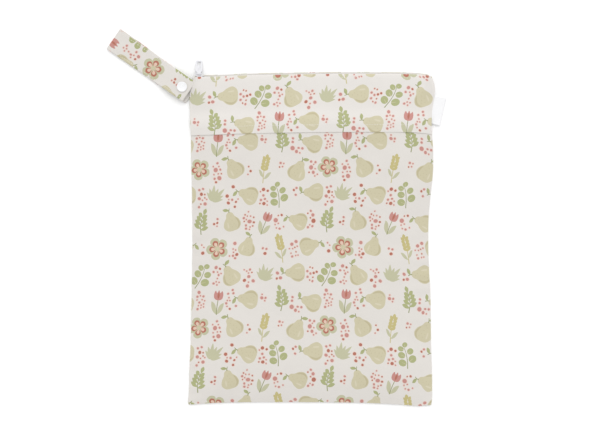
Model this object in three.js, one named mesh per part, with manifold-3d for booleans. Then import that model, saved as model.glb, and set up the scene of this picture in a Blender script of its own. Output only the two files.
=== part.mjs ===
// A flat zip-top cloth bag with a flapped front pocket, lying on its back.
// Millimetres. +X is the bag's right, +Y runs from the bottom seam to the zip, +Z is up.
// The origin is the centre of the back panel's flat underside, on the surface that the bag lies on.

import * as THREE from 'three';
import { mergeVertices } from 'three/addons/utils/BufferGeometryUtils.js';
import Module from 'manifold-3d';

const wasm = await Module();
wasm.setup();

// Driving dimensions of the bag.
const BAG_WIDTH = 292;
const BAG_HEIGHT = 400;
const CLOTH = 1.0;
const GAP = 0.3;

// How far the two walls stand apart in the middle, and the zip's own height at the mouth.
const LOFT = 7.8;
const MOUTH_HEIGHT = 12;
const SIDE_REACH = 46;
const BOTTOM_REACH = 58;
const MOUTH_BLEND = 60;
const MOUTH_SIDE_REACH = 6;

// Front: the upper panel folds over the zip and hangs as a hemmed flap over the pocket panel.
const UPPER_DEPTH = 70;
const HEM = 10;
const FLAP_OVERLAP = 13;
const FLAP_BLEND = 16;
const BACK_PEEK = 3;
const LIP_RADIUS = 1.4;
const LIP_DEPTH = 0.2;

// Zip: a woven tape turned to a channel between the two mouth edges, and the coil chain on its outside.
const TAPE = 0.7;
const TAPE_LIMB = 9;
const TAPE_TURN = 1.2;
const TAPE_INSET_LEFT = 3;
const TAPE_INSET_RIGHT = 7;
const CHAIN_HEIGHT = 4.0;
const CHAIN_DEPTH = 1.5;
const CHAIN_END = 4;

// Slider, bail bar and pull, at the closed end of the zip.
const SLIDER_INSET = 3;
const SLIDER_LENGTH = 10;
const SLIDER_CLEAR = 0.4;
const SLIDER_PLATE = 1.1;
const SLIDER_RAIL = 0.75;
const SLIDER_CORNER = 1.6;
const INNER_PLATE = 0.9;
const INNER_PLATE_LENGTH = 7;
const INNER_PLATE_HEIGHT = 4.2;
const NECK = 1.6;
const BAIL_BAR = 1.4;
const BAIL_POST = 1.2;
const BAIL_SPAN = 6.8;
const BAIL_SHIFT = 1;
const PULL_LENGTH = 17.2;
const PULL_WIDTH = 8.3;
const PULL_THICK = 1.8;
const PULL_CORNER = 1.3;
const PULL_HOLE_WIDTH = 4.4;
const PULL_HOLE_LENGTH = 5;
const PULL_HOLE_MARGIN = 1.7;
const KNUCKLE_WALL = 0.8;
const KNUCKLE_WIDTH = 4.6;
const PULL_RECESS_DEPTH = 0.5;
const PULL_RECESS_WIDTH = 3.6;
const PULL_LIFT = 0.05;

// Carrying strap: one ribbon out from the side seam, folded at its far end and snapped back near the seam.
const STRAP_WIDTH = 27;
const STRAP_LENGTH = 113;
const STRAP_CLOTH = 1.2;
const STRAP_ANGLE = 34.7;
const STRAP_DROP = 20.6;
const STRAP_FREE_END = 1.2;
const STRAP_RAMP = 26;

// Plastic snap, whose two halves meet between the strap's layers.
const SNAP_CAP_DIAMETER = 12.4;
const SNAP_CAP_HEIGHT = 1.3;
const SNAP_FROM_SEAM = 11;
const SNAP_BODY_DIAMETER = 10.4;
const SNAP_SOCKET_HEIGHT = 1.5;
const SNAP_STUD_HEIGHT = 0.9;
const SNAP_KNOB_DIAMETER = 4.4;
const SNAP_KNOB_HEIGHT = 1.1;
const SNAP_PIN_DIAMETER = 2.4;
const SNAP_DISHING = 0.35;

// Bare woven label, one ribbon folded to a loop in the right side seam.
const LABEL_CLOTH = 1.0;
const LABEL_LENGTH = 33;
const LABEL_REACH = 13.6;
const LABEL_DROP = 43;
const LABEL_TILT = 13;

// Facets.
const COLUMNS = 26;
const POCKET_ROWS = 22;
const UPPER_ROWS = 6;
const TURN_STEPS = 3;
const ROUND_STEPS = 20;
const OUTLINE_STEPS = 32;

// Outline in plan. up: share of the height from the bottom seam. left and right: shares of the width.
const SIDE_EDGES = [
  { up: 0.000, left: 0.5060, right: 0.5010 },
  { up: 0.012, left: 0.5080, right: 0.5035 },
  { up: 0.040, left: 0.5044, right: 0.5046 },
  { up: 0.090, left: 0.5028, right: 0.5044 },
  { up: 0.190, left: 0.4972, right: 0.5002 },
  { up: 0.320, left: 0.4934, right: 0.4981 },
  { up: 0.400, left: 0.4912, right: 0.4925 },
  { up: 0.480, left: 0.4898, right: 0.4888 },
  { up: 0.560, left: 0.4900, right: 0.4899 },
  { up: 0.620, left: 0.4910, right: 0.4963 },
  { up: 0.680, left: 0.4927, right: 0.5056 },
  { up: 0.730, left: 0.4945, right: 0.5093 },
  { up: 0.780, left: 0.4952, right: 0.5083 },
  { up: 0.835, left: 0.4975, right: 0.5023 },
  { up: 0.885, left: 0.5006, right: 0.5046 },
  { up: 0.935, left: 0.5020, right: 0.5145 },
  { up: 0.958, left: 0.5002, right: 0.5160 },
  { up: 0.972, left: 0.4966, right: 0.5128 },
  { up: 0.984, left: 0.4915, right: 0.5066 },
  { up: 0.993, left: 0.4855, right: 0.4975 },
  { up: 1.000, left: 0.4770, right: 0.4850 },
];

// Bow of the two ends. across: share of the width from the left edge. lifts: shares of the height.
const END_EDGES = [
  { across: 0.00, top: -0.0070, bottom: -0.0050 },
  { across: 0.03, top: -0.0060, bottom: -0.0035 },
  { across: 0.10, top: -0.0050, bottom: 0.0000 },
  { across: 0.22, top: -0.0015, bottom: 0.0026 },
  { across: 0.40, top: 0.0010, bottom: 0.0030 },
  { across: 0.60, top: 0.0030, bottom: 0.0022 },
  { across: 0.75, top: 0.0031, bottom: 0.0000 },
  { across: 0.88, top: 0.0026, bottom: -0.0050 },
  { across: 0.95, top: 0.0010, bottom: -0.0088 },
  { across: 1.00, top: -0.0030, bottom: -0.0060 },
];

// Soft swells and hollows of the front. across and up: centres as shares of the bag.
// wide and tall: half sizes as shares of the width and height. lift: share of the loft.
const SWELLS = [
  { across: 0.30, up: 0.28, wide: 0.26, tall: 0.16, lift: 0.10 },
  { across: 0.70, up: 0.20, wide: 0.22, tall: 0.12, lift: -0.12 },
  { across: 0.78, up: 0.50, wide: 0.20, tall: 0.09, lift: -0.16 },
  { across: 0.82, up: 0.66, wide: 0.20, tall: 0.08, lift: 0.10 },
  { across: 0.22, up: 0.55, wide: 0.18, tall: 0.12, lift: -0.10 },
  { across: 0.50, up: 0.62, wide: 0.22, tall: 0.10, lift: 0.06 },
  { across: 0.15, up: 0.84, wide: 0.14, tall: 0.06, lift: -0.10 },
];

// Puckers running in from the side seams. up: share of the height. side: -1 left, 1 right.
// reach: share of the width, tall: share of the height, lift: share of the loft.
const PUCKERS = [
  { side: 1, up: 0.475, reach: 0.22, tall: 0.030, lift: -0.20 },
  { side: 1, up: 0.560, reach: 0.18, tall: 0.026, lift: -0.14 },
  { side: 1, up: 0.730, reach: 0.20, tall: 0.034, lift: 0.12 },
  { side: 1, up: 0.200, reach: 0.16, tall: 0.030, lift: -0.10 },
  { side: -1, up: 0.300, reach: 0.16, tall: 0.030, lift: -0.12 },
  { side: -1, up: 0.500, reach: 0.20, tall: 0.034, lift: -0.16 },
  { side: -1, up: 0.640, reach: 0.14, tall: 0.026, lift: 0.10 },
  { side: -1, up: 0.885, reach: 0.12, tall: 0.024, lift: -0.12 },
];

// Smooth reading of one column of a table whose rows are ordered by a key.
function readTable(table, key, column, at) {
  const last = table.length - 1;
  const place = Math.min(Math.max(at, table[0][key]), table[last][key]);
  let row = 0;
  while (row < last - 1 && table[row + 1][key] < place) {
    row += 1;
  }
  const slope = (index) => {
    const before = table[Math.max(index - 1, 0)];
    const after = table[Math.min(index + 1, last)];
    return (after[column] - before[column]) / (after[key] - before[key]);
  };
  const start = table[row];
  const end = table[row + 1];
  const span = end[key] - start[key];
  const t = (place - start[key]) / span;
  const a = 2 * t ** 3 - 3 * t ** 2 + 1;
  const b = t ** 3 - 2 * t ** 2 + t;
  const c = -2 * t ** 3 + 3 * t ** 2;
  const d = t ** 3 - t ** 2;
  return a * start[column] + b * span * slope(row) + c * end[column] + d * span * slope(row + 1);
}

function smooth(t) {
  const held = Math.min(Math.max(t, 0), 1);
  return held * held * (3 - 2 * held);
}

function mix(from, to, t) {
  return from + (to - from) * t;
}

// Height that a wall gains within a reach of an edge where it is sewn down.
function rise(distance, reach) {
  const left = 1 - Math.min(Math.max(distance / reach, 0), 1);
  return 1 - left ** 2.2;
}

function bell(offset, half) {
  return Math.exp(-((offset / half) ** 2));
}

// Plan: u runs from the left edge to the right, v from the bottom edge to the top.
const topY = (u) => BAG_HEIGHT * (0.5 + readTable(END_EDGES, 'across', 'top', u));
const bottomY = (u) => BAG_HEIGHT * (-0.5 + readTable(END_EDGES, 'across', 'bottom', u));
const leftX = (v) => -BAG_WIDTH * readTable(SIDE_EDGES, 'up', 'left', v);
const rightX = (v) => BAG_WIDTH * readTable(SIDE_EDGES, 'up', 'right', v);
const planX = (u, v) => mix(leftX(v), rightX(v), u);
const planY = (u, v) => mix(bottomY(u), topY(u), v);
const shareAtY = (u, y) => (y - bottomY(u)) / (topY(u) - bottomY(u));

const SEAM_STACK = 2 * CLOTH + GAP;
const MOUTH_STACK = SEAM_STACK + 2 * (TAPE + GAP);

// Outer skin of the front wall above the floor, before the flap's own thickness is added.
function frontHeight(u, v) {
  const toLeft = u * BAG_WIDTH;
  const toRight = (1 - u) * BAG_WIDTH;
  const toBottom = v * BAG_HEIGHT;
  const toTop = (1 - v) * BAG_HEIGHT;
  const mouth = 1 - smooth(toTop / MOUTH_BLEND);
  const sideReach = mix(SIDE_REACH, MOUTH_SIDE_REACH, mouth);
  const sides = rise(toLeft, sideReach) * rise(toRight, sideReach);
  const edge = mix(SEAM_STACK, MOUTH_STACK, mouth);
  const body = LOFT * rise(toBottom, BOTTOM_REACH);
  const full = mix(body, MOUTH_HEIGHT - MOUTH_STACK, mouth);
  let relief = 0;
  for (const swell of SWELLS) {
    relief += swell.lift * bell(u - swell.across, swell.wide) * bell(v - swell.up, swell.tall);
  }
  for (const pucker of PUCKERS) {
    const inward = (pucker.side > 0 ? toRight : toLeft) / BAG_WIDTH;
    relief += pucker.lift * bell(inward, pucker.reach) * bell(v - pucker.up, pucker.tall);
  }
  return edge + sides * (full + LOFT * relief * (1 - mouth) * rise(toBottom, BOTTOM_REACH));
}

// Column stations, closer together near the two side seams.
function columnShare(index) {
  const t = index / COLUMNS;
  return mix(t, 0.5 - 0.5 * Math.cos(Math.PI * t), 0.72);
}

// Closed body between two matching grids of points, joined along their four edges.
function sheetGeometry(columns, rows, outer, inner) {
  const positions = [];
  const index = [];
  const wide = columns + 1;
  const sheet = wide * (rows + 1);
  for (const side of [outer, inner]) {
    for (let j = 0; j <= rows; j += 1) {
      for (let i = 0; i <= columns; i += 1) {
        positions.push(...side(i, j));
      }
    }
  }
  for (let j = 0; j < rows; j += 1) {
    for (let i = 0; i < columns; i += 1) {
      const a = j * wide + i;
      const b = a + 1;
      const c = b + wide;
      const d = a + wide;
      index.push(a, b, c, a, c, d);
      index.push(sheet + a, sheet + c, sheet + b, sheet + a, sheet + d, sheet + c);
    }
  }
  const rim = [];
  for (let i = 0; i < columns; i += 1) rim.push(i);
  for (let j = 0; j < rows; j += 1) rim.push(j * wide + columns);
  for (let i = columns; i > 0; i -= 1) rim.push(rows * wide + i);
  for (let j = rows; j > 0; j -= 1) rim.push(j * wide);
  rim.forEach((p, place) => {
    const q = rim[(place + 1) % rim.length];
    index.push(sheet + p, sheet + q, q, sheet + p, q, p);
  });
  const geometry = new THREE.BufferGeometry();
  geometry.setAttribute('position', new THREE.Float32BufferAttribute(positions, 3));
  geometry.setIndex(index);
  return geometry;
}

// Closed tube through rings of points, with a flat cap at each end.
function ringGeometry(rings) {
  const positions = rings.flat(2);
  const index = [];
  const size = rings[0].length;
  for (let r = 0; r < rings.length - 1; r += 1) {
    for (let k = 0; k < size; k += 1) {
      const a = r * size + k;
      const b = r * size + ((k + 1) % size);
      index.push(a, b, b + size, a, b + size, a + size);
    }
  }
  const end = (rings.length - 1) * size;
  for (let k = 1; k < size - 1; k += 1) {
    index.push(0, k + 1, k);
    index.push(end, end + k, end + k + 1);
  }
  const geometry = new THREE.BufferGeometry();
  geometry.setAttribute('position', new THREE.Float32BufferAttribute(positions, 3));
  geometry.setIndex(index);
  return geometry;
}

function toSolid(geometry) {
  const bare = geometry.clone();
  bare.deleteAttribute('normal');
  bare.deleteAttribute('uv');
  const merged = mergeVertices(bare, 1e-4);
  return new wasm.Manifold(new wasm.Mesh({
    numProp: 3,
    vertProperties: new Float32Array(merged.attributes.position.array),
    triVerts: new Uint32Array(merged.index.array),
  }));
}

function toGeometry(solid) {
  const mesh = solid.getMesh();
  const geometry = new THREE.BufferGeometry();
  geometry.setAttribute('position', new THREE.Float32BufferAttribute(mesh.vertProperties, 3));
  geometry.setIndex(Array.from(mesh.triVerts));
  return geometry;
}

function join(geometries) {
  return geometries.map(toSolid).reduce((whole, piece) => whole.add(piece));
}

function boxAt(width, depth, height, x, y, z) {
  return new THREE.BoxGeometry(width, depth, height).translate(x, y, z);
}

function roundedRectangle(width, height, radius) {
  const shape = new THREE.Shape();
  const w = width / 2;
  const h = height / 2;
  shape.moveTo(-w + radius, -h);
  shape.lineTo(w - radius, -h);
  shape.absarc(w - radius, -h + radius, radius, -Math.PI / 2, 0);
  shape.lineTo(w, h - radius);
  shape.absarc(w - radius, h - radius, radius, 0, Math.PI / 2);
  shape.lineTo(-w + radius, h);
  shape.absarc(-w + radius, h - radius, radius, Math.PI / 2, Math.PI);
  shape.lineTo(-w, -h + radius);
  shape.absarc(-w + radius, -h + radius, radius, Math.PI, 1.5 * Math.PI);
  return shape;
}

function extrude(shape, depth) {
  return new THREE.ExtrudeGeometry(shape, { depth, bevelEnabled: false, curveSegments: TURN_STEPS });
}

// Cloth colours come from the photograph; the print is a surface finish.
const clothMaterial = (color) => new THREE.MeshStandardMaterial({ color, roughness: 0.9, metalness: 0 });
const plasticMaterial = (color) => new THREE.MeshStandardMaterial({ color, roughness: 0.35, metalness: 0 });

const bag = new THREE.Group();

function addMesh(parent, name, geometry, material) {
  const mesh = new THREE.Mesh(geometry, material);
  mesh.name = name;
  parent.add(mesh);
  return mesh;
}

// Plan outline of the whole bag, grown outwards by a margin.
function planOutline(margin) {
  const points = [];
  const steps = OUTLINE_STEPS;
  const across = (k) => k / steps;
  const up = (k) => mix(k / steps, 1 - (1 - k / steps) ** 2, 0.85);
  for (let k = 0; k < steps; k += 1) points.push([planX(across(k), 0), bottomY(across(k))]);
  for (let k = 0; k < steps; k += 1) points.push([rightX(up(k)), planY(1, up(k))]);
  for (let k = steps; k > 0; k -= 1) points.push([planX(across(k), 1), topY(across(k))]);
  for (let k = steps; k > 0; k -= 1) points.push([leftX(up(k)), planY(0, up(k))]);
  const grown = points.map(([x, y], place) => {
    const [ax, ay] = points[(place + points.length - 1) % points.length];
    const [bx, by] = points[(place + 1) % points.length];
    const run = Math.hypot(bx - ax, by - ay);
    return new THREE.Vector2(x + (margin * (by - ay)) / run, y - (margin * (bx - ax)) / run);
  });
  return new THREE.Shape(grown);
}

// Back panel: flat on the floor over the bag's whole outline.
const backPanel = extrude(planOutline(0), CLOTH);
addMesh(bag, 'back_panel', backPanel, clothMaterial(0xe2e0d9));

// Front pocket panel: from the bottom seam to a little above the flap's edge.
const foldY = (u) => topY(u) - BACK_PEEK;
const flapY = (u) => foldY(u) - UPPER_DEPTH;
const mouthX = (u) => planX(u, shareAtY(u, foldY(u)));
const pocketTopShare = (u) => shareAtY(u, flapY(u) + FLAP_OVERLAP);

function pocketPoint(i, j, drop) {
  const u = columnShare(i);
  const t = j / POCKET_ROWS;
  const v = pocketTopShare(u) * mix(t, t ** 1.6, 0.5);
  return [planX(u, v), planY(u, v), frontHeight(u, v) - drop];
}

addMesh(
  bag,
  'front_pocket_panel',
  sheetGeometry(COLUMNS, POCKET_ROWS, (i, j) => pocketPoint(i, j, 0), (i, j) => pocketPoint(i, j, CLOTH)),
  clothMaterial(0xe0dfda),
);

// Front upper panel: hemmed flap edge, flat run, and the lip that turns over the zip.
const FLAP_STACK = 2 * CLOTH + GAP;
const TURN_BACK = CLOTH + GAP + TAPE_TURN;
// Rows that the front and the zip tape under it share, measured back from the fold over the zip.
const LIMB_BACKS = [TURN_BACK + TAPE_LIMB, TURN_BACK + TAPE_LIMB / 2, TURN_BACK, LIP_RADIUS];
const rowX = (u, y) => (foldY(u) - y > TURN_BACK + 1e-6 ? planX(u, shareAtY(u, y)) : mouthX(u));
const UPPER_STATIONS = [];
for (const share of [0, 0.5, 1]) UPPER_STATIONS.push({ from: 'flap', at: HEM * share, thick: 2 * CLOTH });
UPPER_STATIONS.push({ from: 'flap', at: HEM + 1.2 * CLOTH, thick: CLOTH });
for (let k = 0; k < UPPER_ROWS; k += 1) {
  const start = FLAP_OVERLAP + CLOTH;
  const finish = UPPER_DEPTH - LIMB_BACKS[0];
  UPPER_STATIONS.push({ from: 'flap', at: mix(start, finish, k / UPPER_ROWS), thick: CLOTH });
}
for (const back of LIMB_BACKS) UPPER_STATIONS.push({ from: 'flap', at: UPPER_DEPTH - back, thick: CLOTH });
for (let k = 1; k <= TURN_STEPS; k += 1) {
  UPPER_STATIONS.push({ from: 'turn', at: (Math.PI / 2) * (k / TURN_STEPS), thick: CLOTH });
}
UPPER_STATIONS.push({ from: 'lip', at: LIP_DEPTH, thick: CLOTH });

function upperHeight(u, y) {
  const past = y - flapY(u) - FLAP_OVERLAP - CLOTH;
  return frontHeight(u, shareAtY(u, y)) + FLAP_STACK * (1 - smooth(past / FLAP_BLEND));
}

function upperPoint(i, j, inside) {
  const u = columnShare(i);
  const station = UPPER_STATIONS[j];
  const drop = inside ? station.thick : 0;
  if (station.from === 'flap') {
    const y = flapY(u) + station.at;
    return [rowX(u, y), y, upperHeight(u, y) - drop];
  }
  const centreY = foldY(u) - LIP_RADIUS;
  const centreZ = upperHeight(u, centreY) - LIP_RADIUS;
  const x = mouthX(u);
  const radius = LIP_RADIUS - drop;
  if (station.from === 'turn') {
    return [x, centreY + radius * Math.sin(station.at), centreZ + radius * Math.cos(station.at)];
  }
  return [x, centreY + radius, centreZ - station.at];
}

addMesh(
  bag,
  'front_upper_panel',
  sheetGeometry(
    COLUMNS,
    UPPER_STATIONS.length - 1,
    (i, j) => upperPoint(i, j, false),
    (i, j) => upperPoint(i, j, true),
  ),
  clothMaterial(0xe6e4e0),
);

// Zip tape: a channel open towards the inside, its web facing out through the mouth.
const webY = (u) => foldY(u) - CLOTH - GAP;
const tapeTop = (u) => upperHeight(u, foldY(u) - TURN_BACK) - CLOTH - GAP;
const tapeBottom = CLOTH + GAP;
const chainZ = (u) => (tapeTop(u) + tapeBottom) / 2;

const columnShares = Array.from({ length: COLUMNS + 1 }, (_, index) => columnShare(index));
const tapeShares = columnShares.filter((u) => (
  u > TAPE_INSET_LEFT / BAG_WIDTH && u < 1 - TAPE_INSET_RIGHT / BAG_WIDTH
));

const TAPE_STATIONS = [];
for (const back of LIMB_BACKS.slice(0, 2)) TAPE_STATIONS.push({ part: 'top', back });
for (let k = 0; k <= TURN_STEPS; k += 1) {
  TAPE_STATIONS.push({ part: 'upper turn', angle: (Math.PI / 2) * (k / TURN_STEPS) });
}
for (let k = 0; k <= TURN_STEPS; k += 1) {
  TAPE_STATIONS.push({ part: 'lower turn', angle: (Math.PI / 2) * (1 + k / TURN_STEPS) });
}
for (const back of LIMB_BACKS.slice(0, 2).reverse()) TAPE_STATIONS.push({ part: 'bottom', back });

function tapePoint(i, j, inside) {
  const u = tapeShares[i];
  const station = TAPE_STATIONS[j];
  const drop = inside ? TAPE : 0;
  const radius = TAPE_TURN - drop;
  const web = webY(u);
  const y = foldY(u) - station.back;
  if (station.part === 'top') {
    return [planX(u, shareAtY(u, y)), y, upperHeight(u, y) - CLOTH - GAP - drop];
  }
  if (station.part === 'bottom') {
    return [planX(u, shareAtY(u, y)), y, tapeBottom + drop];
  }
  const centreZ = station.part === 'upper turn' ? tapeTop(u) - TAPE_TURN : tapeBottom + TAPE_TURN;
  return [
    mouthX(u),
    web - TAPE_TURN + radius * Math.sin(station.angle),
    centreZ + radius * Math.cos(station.angle),
  ];
}

const tapeSolid = toSolid(sheetGeometry(
  tapeShares.length - 1,
  TAPE_STATIONS.length - 1,
  (i, j) => tapePoint(i, j, false),
  (i, j) => tapePoint(i, j, true),
));

// Where the slider sits on the zip.
const mouthShare = shareAtY(0, webY(0));
const sliderU = (SLIDER_INSET + SLIDER_LENGTH / 2) / (rightX(mouthShare) - leftX(mouthShare));
const SLIDER_X = mouthX(sliderU);
const SLIDER_Y = webY(sliderU);
const SLIDER_Z = chainZ(sliderU);
const SLIDER_HEIGHT = CHAIN_HEIGHT + 2 * (SLIDER_CLEAR + SLIDER_RAIL);

// The neck between the slider's plates passes through a slot in the tape.
const NECK_X = SLIDER_X - SLIDER_LENGTH / 2 + 1.6 * NECK;
const neckSlot = toSolid(boxAt(
  NECK + 2 * SLIDER_CLEAR,
  4 * TAPE,
  NECK + 2 * SLIDER_CLEAR,
  NECK_X,
  SLIDER_Y - TAPE / 2,
  SLIDER_Z,
));
addMesh(bag, 'zip_tape', toGeometry(tapeSolid.subtract(neckSlot)), clothMaterial(0xf4f4f2));

// Coil chain: a low rounded bar along the web, from inside the slider to the right end.
function chainRing(u) {
  const x = mouthX(u);
  const near = webY(u) + GAP;
  const z = chainZ(u);
  const h = CHAIN_HEIGHT / 2;
  const section = [[0, -h], [0.6, -h], [1, -h * 0.55], [1, h * 0.55], [0.6, h], [0, h]];
  return section.map(([out, up]) => [x, near + CHAIN_DEPTH * out, z + up]);
}

const chainEnd = 1 - (TAPE_INSET_RIGHT + CHAIN_END) / BAG_WIDTH;
const chainShares = [sliderU, ...tapeShares.filter((u) => u > sliderU && u < chainEnd), chainEnd];
const chainRings = chainShares.map(chainRing);
addMesh(bag, 'zip_chain', ringGeometry(chainRings), plasticMaterial(0xf2f2f0));

// Slider: outer plate and rails round the chain, neck, inner plate, and the bail bar in front.
const slider = new THREE.Group();
slider.position.set(SLIDER_X, SLIDER_Y, SLIDER_Z);
bag.add(slider);

const PLATE_Y = GAP + CHAIN_DEPTH + SLIDER_CLEAR;
const PLATE_FRONT = PLATE_Y + SLIDER_PLATE;
const BAR_Y = PLATE_FRONT + KNUCKLE_WALL + GAP + BAIL_BAR / 2 + GAP;
const POST_X = BAIL_SPAN / 2;
const lieOnWeb = (geometry) => geometry.rotateX(Math.PI / 2);

function sliderGeometry() {
  const pieces = [];
  const face = roundedRectangle(SLIDER_LENGTH, SLIDER_HEIGHT, SLIDER_CORNER);
  pieces.push(lieOnWeb(extrude(face, SLIDER_PLATE)).translate(0, PLATE_FRONT, 0));
  const railDepth = PLATE_Y - SLIDER_CLEAR + 0.5 * SLIDER_PLATE;
  const railZ = (SLIDER_HEIGHT - SLIDER_RAIL) / 2;
  const railLength = SLIDER_LENGTH - 2 * SLIDER_CORNER;
  for (const side of [-1, 1]) {
    const railY = SLIDER_CLEAR + railDepth / 2;
    pieces.push(boxAt(railLength, railDepth, SLIDER_RAIL, 0, railY, side * railZ));
  }
  const innerFace = -TAPE - SLIDER_CLEAR;
  const neckDepth = PLATE_Y - innerFace + 0.5 * (SLIDER_PLATE + INNER_PLATE);
  const neckY = (PLATE_Y + 0.5 * SLIDER_PLATE + innerFace - 0.5 * INNER_PLATE) / 2;
  pieces.push(boxAt(NECK, neckDepth, NECK, NECK_X - SLIDER_X, neckY, 0));
  const back = roundedRectangle(INNER_PLATE_LENGTH, INNER_PLATE_HEIGHT, SLIDER_CORNER);
  const backX = NECK_X - SLIDER_X + (INNER_PLATE_LENGTH - NECK) / 2;
  pieces.push(lieOnWeb(extrude(back, INNER_PLATE)).translate(backX, innerFace, 0));
  for (const side of [-1, 1]) {
    const postDepth = BAR_Y + BAIL_BAR / 2 - PLATE_Y;
    const postY = PLATE_Y + postDepth / 2;
    pieces.push(boxAt(BAIL_POST, postDepth, BAIL_BAR, side * POST_X - BAIL_SHIFT, postY, 0));
  }
  const bar = new THREE.CylinderGeometry(BAIL_BAR / 2, BAIL_BAR / 2, 2 * POST_X, ROUND_STEPS);
  pieces.push(bar.rotateZ(Math.PI / 2).translate(-BAIL_SHIFT, BAR_Y, 0));
  return toGeometry(join(pieces));
}

addMesh(slider, 'zip_slider', sliderGeometry(), plasticMaterial(0xefeff1));

// Pull: a flat tab whose knuckle turns on the bail bar, lying out on the floor past the mouth.
const KNUCKLE_RADIUS = BAIL_BAR / 2 + GAP + KNUCKLE_WALL;

// Tilt at which the lower corner of the tip just clears the floor.
function restedTilt() {
  let tilt = 0;
  for (let round = 0; round < 12; round += 1) {
    tilt = Math.asin((SLIDER_Z - PULL_LIFT - (PULL_THICK / 2) * Math.cos(tilt)) / PULL_LENGTH);
  }
  return tilt;
}

function pullGeometry() {
  const shoulder = KNUCKLE_RADIUS + 1.6;
  const half = PULL_WIDTH / 2;
  const neckHalf = KNUCKLE_WIDTH / 2;
  const tab = new THREE.Shape();
  tab.moveTo(-neckHalf, 0);
  tab.lineTo(neckHalf, 0);
  tab.lineTo(neckHalf, KNUCKLE_RADIUS);
  tab.lineTo(half, shoulder);
  tab.lineTo(half, PULL_LENGTH - PULL_CORNER);
  tab.absarc(half - PULL_CORNER, PULL_LENGTH - PULL_CORNER, PULL_CORNER, 0, Math.PI / 2);
  tab.lineTo(-half + PULL_CORNER, PULL_LENGTH);
  tab.absarc(-half + PULL_CORNER, PULL_LENGTH - PULL_CORNER, PULL_CORNER, Math.PI / 2, Math.PI);
  tab.lineTo(-half, shoulder);
  tab.lineTo(-neckHalf, KNUCKLE_RADIUS);
  const plate = extrude(tab, PULL_THICK).translate(0, 0, -PULL_THICK / 2);
  const ring = new THREE.CylinderGeometry(KNUCKLE_RADIUS, KNUCKLE_RADIUS, KNUCKLE_WIDTH, ROUND_STEPS);
  const boreRadius = BAIL_BAR / 2 + GAP;
  const bore = new THREE.CylinderGeometry(boreRadius, boreRadius, 2 * KNUCKLE_WIDTH, ROUND_STEPS);
  const hole = roundedRectangle(PULL_HOLE_WIDTH, PULL_HOLE_LENGTH, 0.6);
  const holeY = PULL_LENGTH - PULL_HOLE_MARGIN - PULL_HOLE_LENGTH / 2;
  const window = extrude(hole, 3 * PULL_THICK).translate(0, holeY, -1.5 * PULL_THICK);
  const recessEnd = holeY - PULL_HOLE_LENGTH / 2 - PULL_HOLE_MARGIN * 0.6;
  const recessStart = KNUCKLE_RADIUS + PULL_RECESS_WIDTH * 0.3;
  const recess = new THREE.Shape();
  recess.moveTo(-PULL_RECESS_WIDTH / 2, recessEnd);
  recess.absarc(0, recessStart + PULL_RECESS_WIDTH * 0.4, PULL_RECESS_WIDTH * 0.4, Math.PI, 2 * Math.PI);
  recess.lineTo(PULL_RECESS_WIDTH / 2, recessEnd);
  const dish = extrude(recess, PULL_THICK).translate(0, 0, PULL_THICK / 2 - PULL_RECESS_DEPTH);
  return toGeometry(
    join([plate, ring.rotateZ(Math.PI / 2)])
      .subtract(toSolid(bore.rotateZ(Math.PI / 2)))
      .subtract(toSolid(window))
      .subtract(toSolid(dish)),
  );
}

const pull = new THREE.Group();
pull.position.set(-BAIL_SHIFT, BAR_Y, 0);
pull.rotation.x = -restedTilt();
slider.add(pull);
addMesh(pull, 'zip_pull', pullGeometry(), plasticMaterial(0xf3f3f4));

// Strap: its side profile, from the seam out along the floor, round the fold and back to the free end.
const SNAP_LIFT = SNAP_CAP_HEIGHT + GAP;
const SNAP_SPREAD = 3 * GAP + SNAP_STUD_HEIGHT + SNAP_SOCKET_HEIGHT;
const SEAM_LIFT = (SEAM_STACK - STRAP_CLOTH) / 2;
const snapFlat = 0.6 * SNAP_CAP_DIAMETER;

function lowerLayer(s) {
  const away = Math.abs(s - SNAP_FROM_SEAM) - snapFlat;
  if (s < SNAP_FROM_SEAM) {
    return mix(SNAP_LIFT, SEAM_LIFT, smooth(away / (SNAP_FROM_SEAM - snapFlat)));
  }
  return SNAP_LIFT * (1 - smooth(away / STRAP_RAMP));
}

function upperLayer(s) {
  const away = Math.abs(s - SNAP_FROM_SEAM) - snapFlat;
  const spread = s < SNAP_FROM_SEAM ? SNAP_SPREAD : mix(SNAP_SPREAD, GAP, smooth(away / STRAP_RAMP));
  const base = s < SNAP_FROM_SEAM ? SNAP_LIFT : lowerLayer(s);
  return base + STRAP_CLOTH + spread;
}

function strapProfile() {
  const bend = STRAP_CLOTH + GAP / 2;
  const turnS = STRAP_LENGTH - bend;
  const stations = [];
  for (let k = 0; k <= 22; k += 1) stations.push(turnS * (k / 22));
  const outline = new THREE.Shape();
  outline.moveTo(stations[0], lowerLayer(stations[0]));
  stations.slice(1).forEach((s) => outline.lineTo(s, lowerLayer(s)));
  outline.absarc(turnS, bend, bend, -Math.PI / 2, Math.PI / 2);
  const back = stations.filter((s) => s > STRAP_FREE_END).reverse();
  back.slice(1).forEach((s) => outline.lineTo(s, upperLayer(s) + STRAP_CLOTH));
  outline.lineTo(STRAP_FREE_END, upperLayer(STRAP_FREE_END) + STRAP_CLOTH);
  outline.lineTo(STRAP_FREE_END, upperLayer(STRAP_FREE_END));
  back.slice(1).reverse().forEach((s) => outline.lineTo(s, upperLayer(s)));
  outline.lineTo(turnS, STRAP_CLOTH + GAP);
  outline.absarc(turnS, bend, GAP / 2, Math.PI / 2, -Math.PI / 2, true);
  stations.slice(0, -1).reverse().forEach((s) => outline.lineTo(s, lowerLayer(s) + STRAP_CLOTH));
  return outline;
}

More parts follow.
